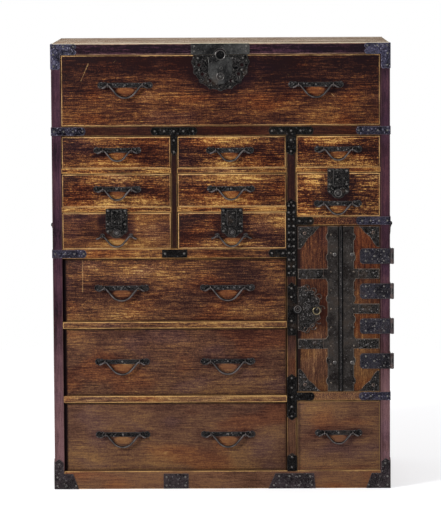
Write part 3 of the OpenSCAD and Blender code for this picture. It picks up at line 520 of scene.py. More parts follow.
def coat_colour(r, tone, palms, top_coats, foot_coats, fade, tinted, behind_warm):
    """The lacquer's colour, with its redder, cooler and warmer places."""
    tall = r.step(r.here[2], *fade)
    colour = r.mix(tall, r.ramp(tone, foot_coats), r.ramp(tone, top_coats))
    hue = r.grain(r.vector("MULTIPLY", r.spot, (0.7, 1, 1.3)), 9, 2)
    redder = r.times(r.step(hue, 0.5, 0.66, 0, 0.75 * tinted), r.step(tone, 0.45, 0.8, 1, 0.3))
    cooler = r.step(hue, 0.46, 0.34, 0, 0.7 * tinted)
    behind = r.times(r.step(r.here[1], -0.198, -0.18), behind_warm)
    for amount, tint in ((redder, RED_TINT), (cooler, COOL_TINT), (behind, SIDE_TINT)):
        colour = r.mix(amount, colour, r.vector("MULTIPLY", colour, tint))
    return r.mix(r.times(palms, 0.45), colour, r.mix(tall, *PALM_COLOURS))


def pale_marks(r, front_rub):
    """The nicks, and all marks where pale wood shows."""
    leaning = r.times(r.split(r.spot)[2], r.step(r.grain(r.spot, 3.1, 1), 0.4, 0.6, -0.9, 0.9))
    slant = r.vector("MULTIPLY", r.vector("ADD", r.spot, r.scaled((1, 0, 0), leaning)), (1, 1, 0.07))
    nicks = r.times(r.step(r.grain(slant, 210, 1, 0.3), 0.75, 0.8),
                    r.step(r.grain(r.spot, 14, 2), 0.54, 0.62),
                    r.scratched, r.step(r.specks, 0.35, 0.6, 0.2, 1))
    ragged = r.total(r.edge, r.sway(r.dashes, 0.0035))
    arris = r.times(r.step(ragged, 0.0023, 0.0013), r.lines, r.step(r.specks, 0.3, 0.5, 0.4, 1),
                    r.step(r.grain(r.spot, 13, 2), 0.36, 0.6, 0.35, 1))
    start = r.note("scratch_from")
    run, way = r.vector("SUBTRACT", r.note("scratch_to"), start), r.vector("SUBTRACT", r.place, start)
    along = r.vector("DOT_PRODUCT", way, run, out="Value")
    gone = r.maths("DIVIDE", along, r.vector("DOT_PRODUCT", run, run, out="Value"), clamp=True)
    off = r.vector("MULTIPLY", r.vector("SUBTRACT", way, r.scaled(run, gone)), (1, 0, 1))
    beside = r.total(r.vector("LENGTH", off, out="Value"), r.sway(r.ticks, 0.003))
    scratch = r.times(r.step(beside, 0.0012, 0.0004), r.step(r.specks, 0.35, 0.6, 0.05, 0.36))
    front_edge = r.times(r.step(r.total(r.here[1], r.sway(r.patches, 0.05)), -0.155, -0.185), front_rub)
    return nicks, r.most(r.most(arris, front_edge), r.most(scratch, r.times(nicks, 0.6)))


def worn_wood(name, top_coats, foot_coats, pale, gloss=0.05, rougher=1.0, fade=(0.1, 0.75),
              zone=(1, 1, 1.6), zoned=1.0, tinted=1.0, front_rub=0.0, behind_warm=0.0):
    """Wiped lacquer, with a row of coats for the top of the chest and one for its foot."""
    r = Board(name, zone)
    palms, tone = handle_marks(r, wear_tone(r, rougher, zoned))
    colour = coat_colour(r, tone, palms, top_coats, foot_coats, fade, tinted, behind_warm)
    nicks, bare = pale_marks(r, front_rub)
    colour = r.mix(bare, colour, paint(*pale))
    # Painted shade: a board's left end turns near black, and its edges half as much, for the shade that
    # stiles and rails cast on a front set back behind them.
    painted_shade = r.most(r.step(r.total(r.left, r.sway(r.specks, 0.004)), 0.0105, 0.0045),
                  r.times(r.step(r.total(r.edge, r.sway(r.specks, 0.006)), 0.007, 0.001), 0.5))
    colour = r.mix(r.times(painted_shade, r.grime), colour, PAINTED_SHADE_COLOUR)
    height = r.total(r.times(r.rings, 0.4), r.times(r.fibres, 0.3), r.times(r.streaks, 0.5),
                     r.times(nicks, -1))
    return r.finish(colour, r.step(tone, 0, 1, 0.5, 0.7), r.relief(height, 0.0005, 0.55), gloss)


print("soot", [round(c, 4) for c in PAINTED_SHADE_COLOUR])

# %% [markdown]
# ## The six wood finishes
# The fronts are brown lacquer worn to ochre, the frame is purple-brown, the rails are redder, the
# door's boards plainer. Boxes and back are bare softwood, and the top has bleached almost white.
# One function makes them all, so they stay relatives.

# %% Wood finishes
front_lacquer = worn_wood(
    "front_lacquer", ((30, 15, 17), (80, 45, 32), (140, 91, 50), (214, 170, 98)),
    ((54, 32, 28), (92, 64, 50), (128, 94, 60), (176, 140, 92)), (232, 184, 124))
frame_lacquer = worn_wood(
    "frame_lacquer", ((28, 18, 25), (70, 44, 57), (102, 70, 71), (160, 124, 110)),
    ((82, 56, 58), (124, 92, 94), (136, 106, 98), (180, 146, 120)), (176, 138, 116),
    fade=(0.12, 0.46), tinted=0.45, behind_warm=1.0)
rail_lacquer = worn_wood(
    "rail_lacquer", ((38, 20, 18), (82, 46, 32), (150, 102, 54), (212, 168, 98)),
    ((58, 36, 28), (104, 72, 54), (132, 96, 60), (180, 144, 96)), (214, 170, 108))
door_lacquer = worn_wood(
    "door_lacquer", ((42, 21, 20), (74, 40, 31), (106, 64, 40), (150, 104, 64)),
    ((54, 32, 23), (85, 56, 36), (106, 74, 46), (148, 110, 66)), (160, 116, 78))
bare_coats = ((104, 76, 50), (138, 104, 70), (166, 132, 92), (190, 158, 114))
plain_softwood = worn_wood("plain_softwood", bare_coats, bare_coats, (176, 144, 104), gloss=0.02)
bleached_coats = ((134, 110, 93), (192, 171, 150), (228, 212, 188), (250, 240, 222))
bleached_top = worn_wood("bleached_top", bleached_coats, bleached_coats, (250, 238, 206), gloss=0.0,
                         rougher=4.0, zone=(0.25, 2.6, 1), zoned=2.0, tinted=0.2, front_rub=0.8)
print("wood finishes", [m.name for m in bpy.data.materials if m.name.endswith(("lacquer", "wood", "top"))])

# %% [markdown]
# ## How worn each board is
# The photograph shows the small drawers and the rails rubbed most, the top drawer blackened at its
# head, and the large drawers fading towards the floor. One setting for all would look new, so each
# board's amounts were found beside the photograph and are kept in tables.

# %% Wear by drawer
# how worn, how uneven, gained at the foot, lost at the head, pale arrises, painted shade at the
# edges, nicks; the small drawers share the last four
SMALL = (0, 0.9, 0.2, 0.5)
FRONTS = {
    "top": (0.24, 0.9, 0.05, 0.34, 0.8, 0.2, 1), "left_1": (0.24, 1.1, 0.12, *SMALL),
    "left_2": (0.3, 1.2, 0.18, *SMALL), "left_3": (0.32, 0.9, 0.1, *SMALL),
    "centre_1": (0.19, 1.25, 0.08, *SMALL), "centre_2": (0.38, 1.2, 0.06, *SMALL),
    "centre_3": (0.21, 1.25, 0.04, *SMALL), "right_1": (0.22, 1.45, 0.1, *SMALL),
    "right_2": (0.3, 1.45, -0.03, *SMALL), "lower_1": (0.22, 1, 0.12, 0, 0.25, 1, 1),
    "lower_2": (0.24, 0.75, 0.12, 0, 0.25, 1, 0.6), "lower_3": (0.3, 0.55, 0.06, 0, 0.2, 1, 0.6),
    "lower_right": (0.33, 0.6, 0, 0, 0.3, 0.5, 0.6),
}
# rubbed above the bail and where across the board, the same below it, dark belt behind it
HANDS = {
    "top": (0, 0.5, 0.08, 0.55, 0), "left_1": (0.24, 0.5, 0.12, 0.5, 0.05),
    "left_2": (0.24, 0.52, 0.36, 0.62, 0.06), "left_3": (0.12, 0.82, 0.14, 0.55, 0),
    "centre_1": (0.26, 0.45, 0.2, 0.5, 0.06), "centre_2": (0.34, 0.46, 0.16, 0.42, 0.1),
    "centre_3": (0.3, 0.97, 0.18, 0.5, 0), "right_1": (0.36, 0.42, 0.3, 0.62, 0.06),
    "right_2": (0.3, 0.3, 0.2, 0.2, 0), "lower_1": (0.04, 0.4, 0.14, 0.18, 0),
    "lower_2": (0, 0.5, 0.06, 0.2, 0), "lower_3": (0, 0.5, 0.06, 0.15, 0),
    "lower_right": (0.1, 0.35, 0, 0.5, 0),
}
NO_HANDS = (0, 0.5, 0, 0.5, 0)
# across, up and size of the lock on a front
LOCKS = {"top": (0.0, 0.9935, 0.067), "left_3": (-0.2415, 0.622, 0.036), "centre_3": (0.025, 0.622, 0.036),
         "right_2": (0.2705, 0.712, 0.036)}
SCRATCHES = {"top": ((-0.304, -0.2, 0.990), (-0.321, -0.2, 0.951)),
             "lower_1": ((-0.321, -0.2, 0.536), (-0.322, -0.2, 0.462))}
FAR = (9, 9, 9)
NO_LOCK, NO_SCRATCH = (9, 9, 1), (FAR, (9, 9, 9.1))
print("fronts", len(FRONTS), "with locks", list(LOCKS), "with long scratches", list(SCRATCHES))

# %% [markdown]
# ## Notes on a board
# A finish can't see which board it is on. A material for every board would be one way, but forty
# nearly equal ones are hard to keep alike. Notes on the mesh's corners let one material look
# different on each board.

# %% Notes
GRAIN_STRETCH, EYE_RISE, SOFTENED_LENGTH = 0.045, 0.003, 0.012


def pulls_of(drawer):
    """Where the bails of a drawer hang: the middles of their eyes' lines."""
    spots = []
    for body in sorted(bodies):
        if body in [f"bail_{drawer}{side}" for side in ("", "_left", "_right")]:
            low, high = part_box(body)
            spots.append(((low.x + high.x) / 2, (low.y + high.y) / 2, high.z - EYE_RISE))
    return (spots * 2)[:2]


def write_note(mesh, name, values):
    """A vector on each vertex, which a finish reads by name."""
    data = mesh.attributes.new(name, "FLOAT_VECTOR", "POINT").data
    data.foreach_set("vector", [c for value in values for c in value])


def note_boards(piece, wear_of, pulls=(FAR, FAR), lock=NO_LOCK, hands=NO_HANDS, scratch=NO_SCRATCH):
    """Write every board's corners, grain and wear into the mesh."""
    count = len(piece.data.vertices)
    keys = ("board_low", "board_high", "grain", "wear_kind", "wear_place", "wear_and_shade_marks")
    notes = {key: [None] * count for key in keys}
    for number, (verts, faces, low, high) in enumerate(parts_of(piece)):
        size = high - low
        grain = [1.0, 1.0, 1.0]
        grain[max(range(3), key=lambda i: size[i])] = GRAIN_STRETCH
        wear, rub, foot, head, lines, grime, scratched, finish = wear_of(low)
        seed = 0.37 * number + sum(low) * 3.1
        for v in verts:
            for key, value in zip(keys, (low, high, grain, (wear, rub, seed), (foot, head, lines),
                                         (grime, scratched, hands[4]))):
                notes[key][v] = value
        coat(piece, faces, finish)
    for key, values in notes.items():
        write_note(piece.data, key, values)
    spots = {"pull_one": pulls[0], "pull_two": pulls[1], "lock_spot": lock, "hand_above": (*hands[:2], 0),
             "hand_below": (*hands[2:4], 0), "scratch_from": scratch[0], "scratch_to": scratch[1]}
    for key, spot in spots.items():
        write_note(piece.data, key, [spot] * count)


def soften(piece, width):
    """Round the long arrises of every board, as use does."""
    count = pick(piece, "EDGE", lambda e: e.is_manifold and e.calc_length() > SOFTENED_LENGTH
                 and e.calc_face_angle() > 1, lambda: bevel(width, 2))
    bpy.ops.object.shade_smooth_by_angle(angle=math.radians(35))
    return count


print("bails of the top drawer hang at", [[round(c, 3) for c in spot] for spot in pulls_of("top")])

# %% [markdown]
# ## The case
# Sides, top, shelves, partitions, rails and base are single boards. A plane would leave their
# arrises sharp, and a century has rounded them, so they are bevelled a little more than a
# millimetre. Each gets the finish of its place.

# %% Case boards
CASE_WEAR = {
    "side_boards": (0.22, 0.4, 0.05, 0, 0.15, 0.3, 0.6, frame_lacquer),
    "top_board": (0, 0.8, 0.1, 0, 0.9, 0.2, 0.6, frame_lacquer),
    "partitions": (0, 0.4, 0, 0, 0.25, 0.3, 0.4, rail_lacquer),
    "base": (0.3, 0.5, 0, 0, 0.7, 0.2, 0.6, rail_lacquer),
    "back_boards": (0.3, 0.3, 0, 0, 0.2, 0.2, 0.2, plain_softwood),
    "shelves": (0.26, 1, 0.08, 0, 0.5, 0.2, 0.5, rail_lacquer),
    "rails": (0.44, 1.3, 0, 0, 0.75, 0.1, 0.3, rail_lacquer),
    "runners": (0.3, 0.3, 0, 0, 0.2, 0.2, 0, plain_softwood),
}
LONG_PARTITION = (0, 0.45, 0.26, 0, 0.3, 0.3, 0.4, rail_lacquer)
UPPER_SHELF = (0.05, 0.5, 0.04, 0, 0.3, 0.2, 0.5, rail_lacquer)
LOWER_RAILS = (0.4, 1.1, 0, 0, 0.85, 0.1, 0.3, rail_lacquer)
TOP_LOCK = (0, 1.0095, 0.0155)
MIDDLE, UPPER = 0.5, 0.8


def case_wear(node, low):
    """The upper shelf is cleaner, the lower rails duller, and the long partition fades at its foot."""
    if node == "partitions" and low.z < MIDDLE:
        return LONG_PARTITION
    if node == "shelves" and low.z > UPPER:
        return UPPER_SHELF
    if node == "rails" and low.z < MIDDLE:
        return LOWER_RAILS
    return CASE_WEAR[node]


for node in CASE_WEAR:
    piece = take(node, "dressed_" + node)
    edges = soften(piece, 0.0014)
    note_boards(piece, lambda low: case_wear(node, low), lock=TOP_LOCK if node == "top_board" else NO_LOCK)
    print(node, "boards", len(parts_of(piece)), "arrises", edges)
    if node == "top_board":
        coat(piece, [f.index for f in piece.data.polygons if f.normal.z > 0.5], bleached_top)

# %% [markdown]
# ## The drawers and the door
# A drawer is a lacquered front on a box of bare boards. The front lies nearest to the person who
# pulls it, which tells the two finishes apart without a list. The door is two upright boards, the
# left one darker.

# %% Drawer and door boards
INSIDE = (0.3, 0.3, 0, 0, 0.2, 0.2, 0.3, plain_softwood)
DOOR_REST = (1.0, 0.24, 0.0, 0.3, 0.9, 0.6, door_lacquer)
LEFT_BOARD, RIGHT_BOARD = (0.2, *DOOR_REST), (0.34, *DOOR_REST)
SAFE_LOCK = (0.177, 0.421, 0.055)
for name, wear in FRONTS.items():
    piece = take("drawer_" + name, "dressed_drawer_" + name)
    soften(piece, 0.0013)
    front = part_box("drawer_" + name)[0].y + 0.004
    note_boards(piece, lambda low: (*wear, front_lacquer) if low.y < front else INSIDE,
                pulls_of(name), LOCKS.get(name, NO_LOCK), HANDS[name], SCRATCHES.get(name, NO_SCRATCH))
door = take("safe_door", "dressed_safe_door")
soften(door, 0.001)
note_boards(door, lambda low: LEFT_BOARD if low.x < 0.2 else RIGHT_BOARD, lock=SAFE_LOCK)
print("drawers", len(FRONTS), "and the door")

# %% [markdown]
# ## Blackened iron
# The smith's plates are thin sheet, blackened over fire. Their rims are rubbed bright, and the
# fields are chased with scrolls and punched dots, with dust and rust in the hollows. Cut into the
# mesh these would cost millions of faces, so noise draws them, and a note says where the rim is.


# %% Iron finishes
def blackened(name, deep, body, rim, chased=0.0, rough=0.5, metallic=0.9, painted_glint=(136, 132, 131)):
    """Burnt-in black on sheet iron, with chased scrolls and punched dots in painted highlight, and rubbed
    rims.
    """
    r = Recipe(bpy.data.materials.new(name))
    beaten, cloud = r.grain(r.place, 60, 2, 0.5), r.grain(r.place, 26, 4, 0.65)
    pits, curls = r.grain(r.place, 900, 2, 0.6), r.grain(r.place, 120, 1, 0.4, 2.4)
    vine = r.step(r.maths("ABSOLUTE", r.less(curls, 0.5)), 0.055, 0.015)
    dots = r.add("TexVoronoi", {"Vector": r.place, "Scale": 140}).outputs["Distance"]
    bright = r.most(r.times(vine, 0.35), r.step(dots, 0.26, 0.14))
    hollow = r.step(r.grain(r.place, 300, 2, 0.6), 0.5, 0.58)
    field = r.mix(r.step(cloud, 0.34, 0.66), paint(*deep), paint(*body))
    # The glint colour on the scrolls and dots is a painted highlight.
    for amount, colour in ((r.times(hollow, chased, 0.85), (14, 13, 15)), (r.times(bright, chased), painted_glint),
                           (r.times(r.step(cloud, 0.56, 0.7), 0.35), (74, 58, 46))):
        field = r.mix(amount, field, paint(*colour))
    worn = r.times(r.step(r.note("rim", "Fac"), 0.35, 1.0), r.step(beaten, 0.3, 0.6, 0.35, 1))
    height = r.total(beaten, r.times(pits, 0.08), r.times(vine, 0.3 * chased), r.times(hollow, -0.3 * chased))
    return r.finish(r.mix(worn, field, paint(*rim)), r.step(cloud, 0.2, 0.8, rough - 0.1, rough + 0.12),
                    r.relief(height, 0.0007, 0.6), 0.1, metallic)


plate_iron = blackened("plate_iron", (18, 17, 18), (44, 43, 44), (92, 88, 88), 0.65)
# The corner and strap irons are painted lighter as painted light, the strip iron near black as painted shade.
corner_iron_painted_light = blackened("corner_iron_painted_light", (28, 27, 38), (80, 78, 103), (132, 128, 146), 0.85,
                        painted_glint=(140, 136, 152))
strap_iron_painted_light = blackened("strap_iron_painted_light", (18, 16, 24), (60, 57, 74), (112, 104, 114), 0.8,
                       painted_glint=(138, 134, 150))
hinge_iron = blackened("hinge_iron", (24, 23, 29), (54, 52, 62), (98, 86, 84), 0.6)
strip_iron_painted_shade = blackened("strip_iron_painted_shade", (8, 7, 7), (18, 17, 17), (66, 62, 60), 0.3)
base_iron = blackened("base_iron", (38, 32, 35), (68, 58, 62), (108, 98, 98), 0.6)
band_iron = blackened("band_iron", (30, 26, 25), (65, 60, 57), (146, 134, 122), 0.3)
chased_iron = blackened("chased_iron", (18, 17, 16), (48, 45, 43), (126, 108, 98), 0.8)
bail_iron = blackened("bail_iron", (22, 22, 22), (40, 39, 39), (116, 108, 106), 0.0, 0.45, 0.7)
nail_iron = blackened("nail_iron", (56, 54, 54), (96, 94, 94), (130, 126, 122), 0.0, 0.4)
lock_iron = blackened("lock_iron", (26, 26, 27), (80, 80, 79), (124, 122, 118), 0.3)
deep_iron = blackened("deep_iron", (8, 8, 9), (25, 24, 25), (84, 81, 80), 0.5, painted_glint=(146, 142, 138))
black_iron = blackened("black_iron", (5, 5, 6), (13, 12, 14), (46, 44, 45), 0.15, 0.6, 0.6)
painted_shade_black = blackened("painted_shade_black", (5, 5, 5), (10, 9, 9), (14, 13, 13), 0.0, 0.7, 0.3)
old_brass = blackened("old_brass", (118, 108, 84), (156, 142, 112), (200, 186, 150), 0.0, 0.35, 0.9)
print("iron finishes", [m.name for m in bpy.data.materials if m.name.endswith("_iron")])

# %% [markdown]
# ## Bails
# Each bail is a forged rod, curled at both ends. A curve could make it anew, but the CAD rod has the
# right bends and only lacks sides. Its triangles are joined into quads, two levels of subdivision
# make it round, and fattening gives back the hair that this takes.

# %% Bails
# The rod is lighter on its front and under side: rubbed there by hands, and painted highlight as well.
RUBBED_AND_LIT_SIDE = Vector((0, -0.85, -0.5)).normalized()
LOST_THICKNESS = 0.0002


def keep_inside(piece):
    """Bring what stands out of the CAD model's box by a hair back to it."""
    for v in piece.data.vertices:
        v.co = [min(max(c, low), high) for c, low, high in zip(v.co, *cad_box)]
    piece.data.update()


def note_rim(piece, values):
    """How far each corner is rubbed bright, from 0 to 1."""
    piece.data.attributes.new("rim", "FLOAT", "POINT").data.foreach_set("value", values)


for body in sorted(b for b in bodies if b.startswith("bail_")):
    piece = take(body, "forged_" + body, flatten=False)
    edit(piece, bpy.ops.mesh.tris_convert_to_quads)
    round_rod = piece.modifiers.new("round", "SUBSURF")
    round_rod.levels = round_rod.render_levels = 2
    bpy.ops.object.modifier_apply(modifier="round")
    edit(piece, lambda: bpy.ops.transform.shrink_fatten(value=LOST_THICKNESS))
    keep_inside(piece)
    note_rim(piece, [min(1, max(0, v.normal.dot(RUBBED_AND_LIT_SIDE) * 1.6 - 0.4)) for v in piece.data.vertices])
    bpy.ops.object.shade_smooth()
    piece.data.materials.append(bail_iron)
print("bails", sum(body.startswith("bail_") for body in bodies), "faces each", len(piece.data.polygons))

# %% [markdown]
# ## Plates, straps and nails
# Every fitting is sorted into its loose parts by size, because a list of them would break with the
# next change of the model. A plate's outline is bevelled by a third of a millimetre and its face is
# inset. The ring between is the rim that hands and dust cloths have rubbed bright.

# %% Dressing ironwork
IRON_BEVEL, RIM_WIDTH, HINGE_SIDE = 0.0003, 0.0016, 0.3985


def dress_iron(node, finish_of):
    """Bevel and inset a node's plates, and give each loose part its finish."""
    piece = take(node, "dressed_" + node)
    flat = (lambda f: f.calc_area() > 0.00006 and max(abs(c) for c in f.normal) > 0.999)
    pick(piece, "EDGE", lambda e: e.is_manifold and e.calc_face_angle() > 0.9
         and any(flat(f) for f in e.link_faces), lambda: bevel(IRON_BEVEL, 1))
    plates = {f for verts, faces, low, high in parts_of(piece) if max(high - low) > 0.012 for f in faces}
    pick(piece, "FACE", lambda f: f.index in plates and (f.normal.y < -0.999 or abs(f.normal.x) > 0.999)
         and f.calc_area() > 0.000004,
         lambda: bpy.ops.mesh.inset(thickness=RIM_WIDTH, depth=0, use_even_offset=False))
    inner = {v for f in piece.data.polygons if f.select for v in f.vertices}
    hinged = node in ("hinge_leaves", "safe_ironwork")
    note_rim(piece, [0.0 if v.index in inner or (hinged and abs(v.co.x) > HINGE_SIDE) else 1.0
                     for v in piece.data.vertices])
    bpy.ops.object.shade_smooth_by_angle(angle=math.radians(40))
    for verts, faces, low, high in parts_of(piece):
        coat(piece, faces, finish_of(low, high))
    keep_inside(piece)
    return piece


def by_size(low, high):
    """Bosses are black, lock plates dark, nail heads bright, eyes like the bails, the rest plates."""
    size = high - low
    boss = 0.018 < size.x < 0.025 and abs(size.x - size.z) < 0.001
    lock_plate = 0.045 < size.x and size.z > 0.06 and size.y < 0.002
    nail = max(size) < 0.006
    eye = size.y > 0.02 and size.z < 0.02 and size.x < 0.02
    kinds = ((boss, black_iron), (lock_plate, deep_iron), (nail, nail_iron), (eye, bail_iron))
    return next((iron for is_it, iron in kinds if is_it), plate_iron)


for name in FRONTS:
    dress_iron("fittings_" + name, by_size)
print("drawers with their fittings", len(FRONTS))

# %% [markdown]
# ## The frame's and the door's irons
# Plates that wrap round the corners get a lighter, bluish iron as painted light, and the strips on the
# partitions a near-black one as painted shade. The door's bands are smooth while its other plates are
# chased. A list could name them, but place and size decide it more briefly.

# %% Frame and door irons
CORNERS_ABOVE, BASE_BELOW, WRAPPED_FROM, KNUCKLES_FROM = 0.9, 0.02, 0.38, 0.39


def frame_iron(low, high):
    """Corner mounts and wrapped straps get a lighter iron as painted light; the strips inside a darker one as
    painted shade.
    """
    if low.z > 1.0 and max(abs(low.x), abs(high.x)) < 0.1:
        return lock_iron
    if low.z < BASE_BELOW:
        return base_iron
    if max(-low.x, high.x) < WRAPPED_FROM:
        return strip_iron_painted_shade
    return corner_iron_painted_light if low.z > CORNERS_ABOVE else strap_iron_painted_light


def door_iron(low, high):
    """The tall bands are smooth, the hinge straps bluish, the rest of the door's plates chased."""
    size = high - low
    if size.z > 0.3:
        return band_iron if size.x > 0.01 else plate_iron
    # The knuckles get the darkest iron as painted shadow.
    if low.x > KNUCKLES_FROM:
        return deep_iron
    if size.x > 0.03 and size.y < 0.004:
        return chased_iron
    return hinge_iron if size.x > 0.06 else by_size(low, high)


def leaf_iron(low, high):
    """The hinges' knuckles get the darkest iron as painted shadow."""
    return deep_iron if low.x > KNUCKLES_FROM else by_size(low, high)


for node, sorter in (("frame_straps", frame_iron), ("frame_nails", by_size), ("hinge_leaves", leaf_iron),
                     ("side_bail_plates", by_size), ("safe_ironwork", door_iron)):
    piece = dress_iron(node, sorter)
    print(node, "parts", len(parts_of(piece)))

# %% [markdown]
# ## The locksmith's small work
# Shields, collars, scrolls and rivets lie on the plates, as a smith would cut and rivet them. They
# are too fine for the CAD model and too near the eye for a noise. Each shape is made once from a
# primitive, and copies are set in place.


# %% Shapes that are made once
def bare_piece(name):
    """Name the object that was just added, and return it."""
    bpy.context.object.name = name
    return bpy.context.object


def shape(piece, *steps):
    """Run edit-mode steps and turn all faces outwards."""
    edit(piece, *steps, lambda: bpy.ops.mesh.normals_make_consistent(inside=False))


def inset_front(rim):
    """In edit mode, set the front face's rim off from its field."""
    mesh = bmesh.from_edit_mesh(bpy.context.object.data)
    for face in mesh.faces:
        face.select_set(face.normal.y < -0.999)
    bpy.ops.mesh.inset(thickness=rim, depth=0)


def plate(name, width, height, thick, corner, steps=1):
    """A thin upright plate with softened edges and a rim, facing the front."""
    bpy.ops.mesh.primitive_cube_add(size=1)
    piece = bare_piece(name)
    shape(piece, lambda: bpy.ops.transform.resize(value=(width, thick, height)),
          lambda: bevel(corner, steps),
          lambda: inset_front(0.0011))
    return piece


def scroll(name, radius, wire):
    """A C-shaped scroll: a six-sided wire spun through three quarters of a turn."""
    bpy.ops.mesh.primitive_circle_add(vertices=6, radius=wire, fill_type="NGON", location=(radius, 0, 0))
    piece = bare_piece(name)
    bpy.ops.object.transform_apply(location=True)
    shape(piece, lambda: bpy.ops.mesh.spin(steps=12, angle=4.6, center=(0, 0, 0), axis=(0, 1, 0)),
          lambda: bpy.ops.transform.resize(value=(1, 0.7, 1)))
    return piece


upright = (math.radians(90), 0, 0)
cheek = plate("cheek", 0.023, 0.036, 0.0022, 0.0007, steps=2)
c_scroll = scroll("c_scroll", 0.0046, 0.0009)
bpy.ops.mesh.primitive_torus_add(major_radius=0.0062, minor_radius=0.0009, major_segments=24,
                                 minor_segments=8, rotation=upright)
collar = bare_piece("collar")
bpy.ops.object.transform_apply(rotation=True)
bpy.ops.mesh.primitive_uv_sphere_add(segments=14, ring_count=8, radius=0.0042)
rivet = bare_piece("rivet")
shape(rivet, lambda: bpy.ops.transform.resize(value=(1, 0.45, 1)))
masters = [cheek, c_scroll, collar, rivet]
print("shapes", [m.name for m in masters])

# %% [markdown]
# ## The great lock
# The top drawer's lock hides under a broad pierced plate. On it lie a shield with a flat head,
# rings round the holes, scrolls, and the keyhole's ring and pin. The shield is a disc whose upper
# half is pushed flat and lifted, which keeps its lower edge a true half circle.

# %% The great lock
SKIN = -0.2014
LOCK_MIDDLE, KEY_HEIGHT, BOSS_HEIGHT = 0.9705, 0.96, 1.0095
COLLARS = ((0.0495, 0.9866), (0.0415, 0.9655), (0.025, 0.9502))
SCROLLS = ((0.038, 0.9955, 0.4), (0.037, 0.9795, 2.6), (0.0545, 0.9745, 4.4),
           (0.033, 0.9625, 1.2), (0.0435, 0.9535, 3.7), (0.0585, 0.9945, 5.6))


def set_copy(master, name, at, turned=0.0, grown=1.0, finish=None, node="fittings_top", body="drawer_top"):
    """A copy with its own mesh, turned in its plane and set on the chest."""
    piece = copy_of(master, name)
    piece.data.transform(Matrix.Translation(at) @ Matrix.Rotation(turned, 4, "Y") @ Matrix.Scale(grown, 4))
    piece.data.materials.append(finish)
    note_rim(piece, [1.0 if -0.97 < v.normal.y < -0.3 else 0.0 for v in piece.data.vertices])
    bpy.ops.object.shade_smooth_by_angle(angle=math.radians(40))
    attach(piece, body)
    return piece


def set_row(master, name, spots, proud, **settings):
    """Numbered copies at (across, up) or (across, up, turn), proud of the plates' skin."""
    for number, (x, z, *turned) in enumerate(spots):
        set_copy(master, f"{name}_{number}", (x, SKIN - proud, z), *turned, **settings)


bpy.ops.mesh.primitive_cylinder_add(vertices=56, radius=0.0275, depth=0.0012, rotation=upright)
shield = bare_piece("shield")
bpy.ops.object.transform_apply(rotation=True)
pick(shield, "VERT", lambda v: v.co.z > 0.0001,
     lambda: bpy.ops.transform.resize(value=(1, 1, 0), center_override=(0, 0, 0)),
     lambda: bpy.ops.transform.translate(value=(0, 0, 0.0345)))
shape(shield, merge, lambda: bevel(0.0004, 2), lambda: inset_front(0.0014))
set_copy(shield, "great_lock_shield", (0, SKIN - 0.0004, LOCK_MIDDLE), finish=lock_iron)
for side in (-1, 1):
    set_row(collar, f"great_lock_collar_{side}", [(side * x, z) for x, z in COLLARS], 0.0006,
            finish=deep_iron)
    set_row(c_scroll, f"great_lock_scroll_{side}", [(side * x, z, side * angle) for x, z, angle in SCROLLS],
            0.0004, finish=plate_iron)
for name, master, x, z, proud, grown in (
        ("ring", collar, 0, KEY_HEIGHT, 0.0018, 1.35), ("pin", rivet, 0, KEY_HEIGHT, 0.0012, 0.55),
        ("boss_ring", collar, 0, BOSS_HEIGHT, 0.0026, 1.75), ("stop", collar, 0.002, 0.9795, 0.0012, 0.55)):
    set_copy(master, "great_lock_" + name, (x, SKIN - proud, z), grown=grown, finish=nail_iron)
masters.append(shield)

# %% [markdown]
# ## The small locks
# Three small drawers lock as well. Their plates carry a raised cheek, a rivet in each corner, and a
# ring and a pin at the keyhole.

# %% Small locks
CHEEK_RISE, KEY_DROP = 0.012, 0.0225
PLATE_CORNERS = ((-0.0185, 0.029), (0.0185, 0.029), (-0.0185, -0.002), (0.0185, -0.002))
for name in ("left_3", "centre_3", "right_2"):
    x, z, _ = LOCKS[name]
    own = dict(node="fittings_" + name, body="drawer_" + name)
    set_copy(cheek, f"lock_cheek_{name}", (x, SKIN - 0.0007, z + CHEEK_RISE), finish=deep_iron, **own)
    set_row(rivet, f"lock_rivet_{name}", [(x + dx, z + dz) for dx, dz in PLATE_CORNERS], 0.0006, grown=0.5,
            finish=nail_iron, **own)
    key = (x, SKIN - 0.0006, z - KEY_DROP)
    ring_iron = nail_iron if name == "right_2" else bail_iron
    set_copy(collar, f"lock_ring_{name}", key, grown=1.3, finish=ring_iron, **own)
    set_copy(rivet, f"lock_pin_{name}", key, grown=0.6, finish=nail_iron, **own)

# %% [markdown]
# ## On the door
# Two bands frame the seam of the boards, and the bead between stands out as a ridge between two
# black lines, painted shadow of the deep seam, which a black lining and two black strips draw. The
# short straps get chased covers, and rivets fasten the bands and fill the corner plates' holes.
# Scrolls and two rings dress the lock plate.

# %% On the door
own = dict(node="safe_ironwork", body="safe_door")
SEAM, MIDDLE_HEIGHT, SEAM_LINE_OFF = 0.276, 0.4204, 0.0042
LOCK_X, LOCK_Z = 0.184, 0.421
COVERS = ((0.2072, 0.5019, 1.0), (0.2072, 0.3389, 1.0), (0.3405, 0.5019, 0.82),
          (0.3405, 0.4204, 0.82), (0.3405, 0.3389, 0.82))
CORNER_HOLES = ((0.1926, 0.5969), (0.1926, 0.2439), (0.3511, 0.5981), (0.3511, 0.2427))
liner = plate("liner", 0.0104, 0.383, 0.0005, 0.0001)
seam_line = plate("seam_line", 0.0036, 0.3825, 0.0004, 0.0001)
strap_cover = plate("strap_cover", 0.0575, 0.0225, 0.0008, 0.0002)
masters += [liner, seam_line, strap_cover]
# The lining and the two lines are painted shadow of the deep seam.
set_copy(liner, "door_seam_lining", (SEAM, SKIN + 0.0012, MIDDLE_HEIGHT), finish=painted_shade_black, **own)
for side in (-1, 1):
    set_copy(seam_line, f"door_seam_line_{side}", (SEAM + side * SEAM_LINE_OFF, SKIN - 0.0001, MIDDLE_HEIGHT),
             finish=painted_shade_black, **own)
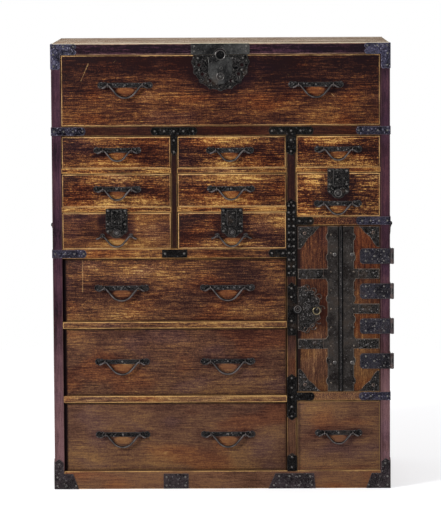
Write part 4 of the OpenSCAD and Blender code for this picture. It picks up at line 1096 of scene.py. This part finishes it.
for number, (x, z, width) in enumerate(COVERS):
    cover = set_copy(strap_cover, f"door_strap_cover_{number}", (0, SKIN, z), finish=chased_iron, **own)
    cover.data.transform(Matrix.Translation((x, 0, 0)) @ Matrix.Diagonal((width, 1, 1, 1)))
set_row(rivet, "door_corner_rivet", CORNER_HOLES, -0.0002, grown=0.84, finish=chased_iron, **own)
for x in (0.262, 0.302):
    set_row(rivet, f"band_rivet_{x}", [(x, 0.2955), (x, 0.5475)], 0.0004, grown=1.1, finish=nail_iron, **own)
for x in (0.2535, 0.3065):
    set_row(rivet, f"band_nail_{x}", [(x, 0.248 + 0.0432 * number) for number in range(9)], 0.0004,
            grown=0.5, finish=band_iron, **own)
set_row(c_scroll, "safe_lock_scroll",
        [(LOCK_X + 0.048 * abs(math.cos(angle * 0.62)), LOCK_Z + 0.05 * math.sin(angle * 0.66), angle)
         for angle in (0.9, 1.5, 2.1, -0.9, -1.5, -2.1, 0.0)], 0.0002, grown=1.45, finish=chased_iron, **own)
for number, width in enumerate((0.62, 1.25)):
    set_copy(collar, f"safe_boss_ring_{number}", (0.176, SKIN - 0.0042, LOCK_Z), grown=width,
             finish=nail_iron, **own)

# %% [markdown]
# ## The gap beside the door
# The door leaves a narrow gap to the partition, through which one looks into the dark of the safe.
# In the model light gets in, so a black strip lines the gap. It stays when the door opens.

# %% Gap beside the door
gap_strip = plate("gap_strip", 0.0036, 0.385, 0.0004, 0.0001)
set_copy(gap_strip, "door_gap_lining", (0.1742, SKIN + 0.00125, MIDDLE_HEIGHT), finish=painted_shade_black,
         node="partitions", body="case")
masters.append(gap_strip)
for master in masters:
    bpy.data.objects.remove(master)
print("gap lined, shapes put away", len(masters))

# %% [markdown]
# ## The pull ring
# The door is drawn open by a small brass ring, the only bright metal. The CAD ring is smooth
# enough, so it only needs soft shading and its finish.

# %% Pull ring
ring = take("safe_ring", "dressed_safe_ring", flatten=False)
bpy.ops.object.shade_smooth()
ring.data.materials.append(old_brass)
print("ring", len(ring.data.polygons), "faces")

# %% [markdown]
# The dressed model may not be larger than the CAD model.
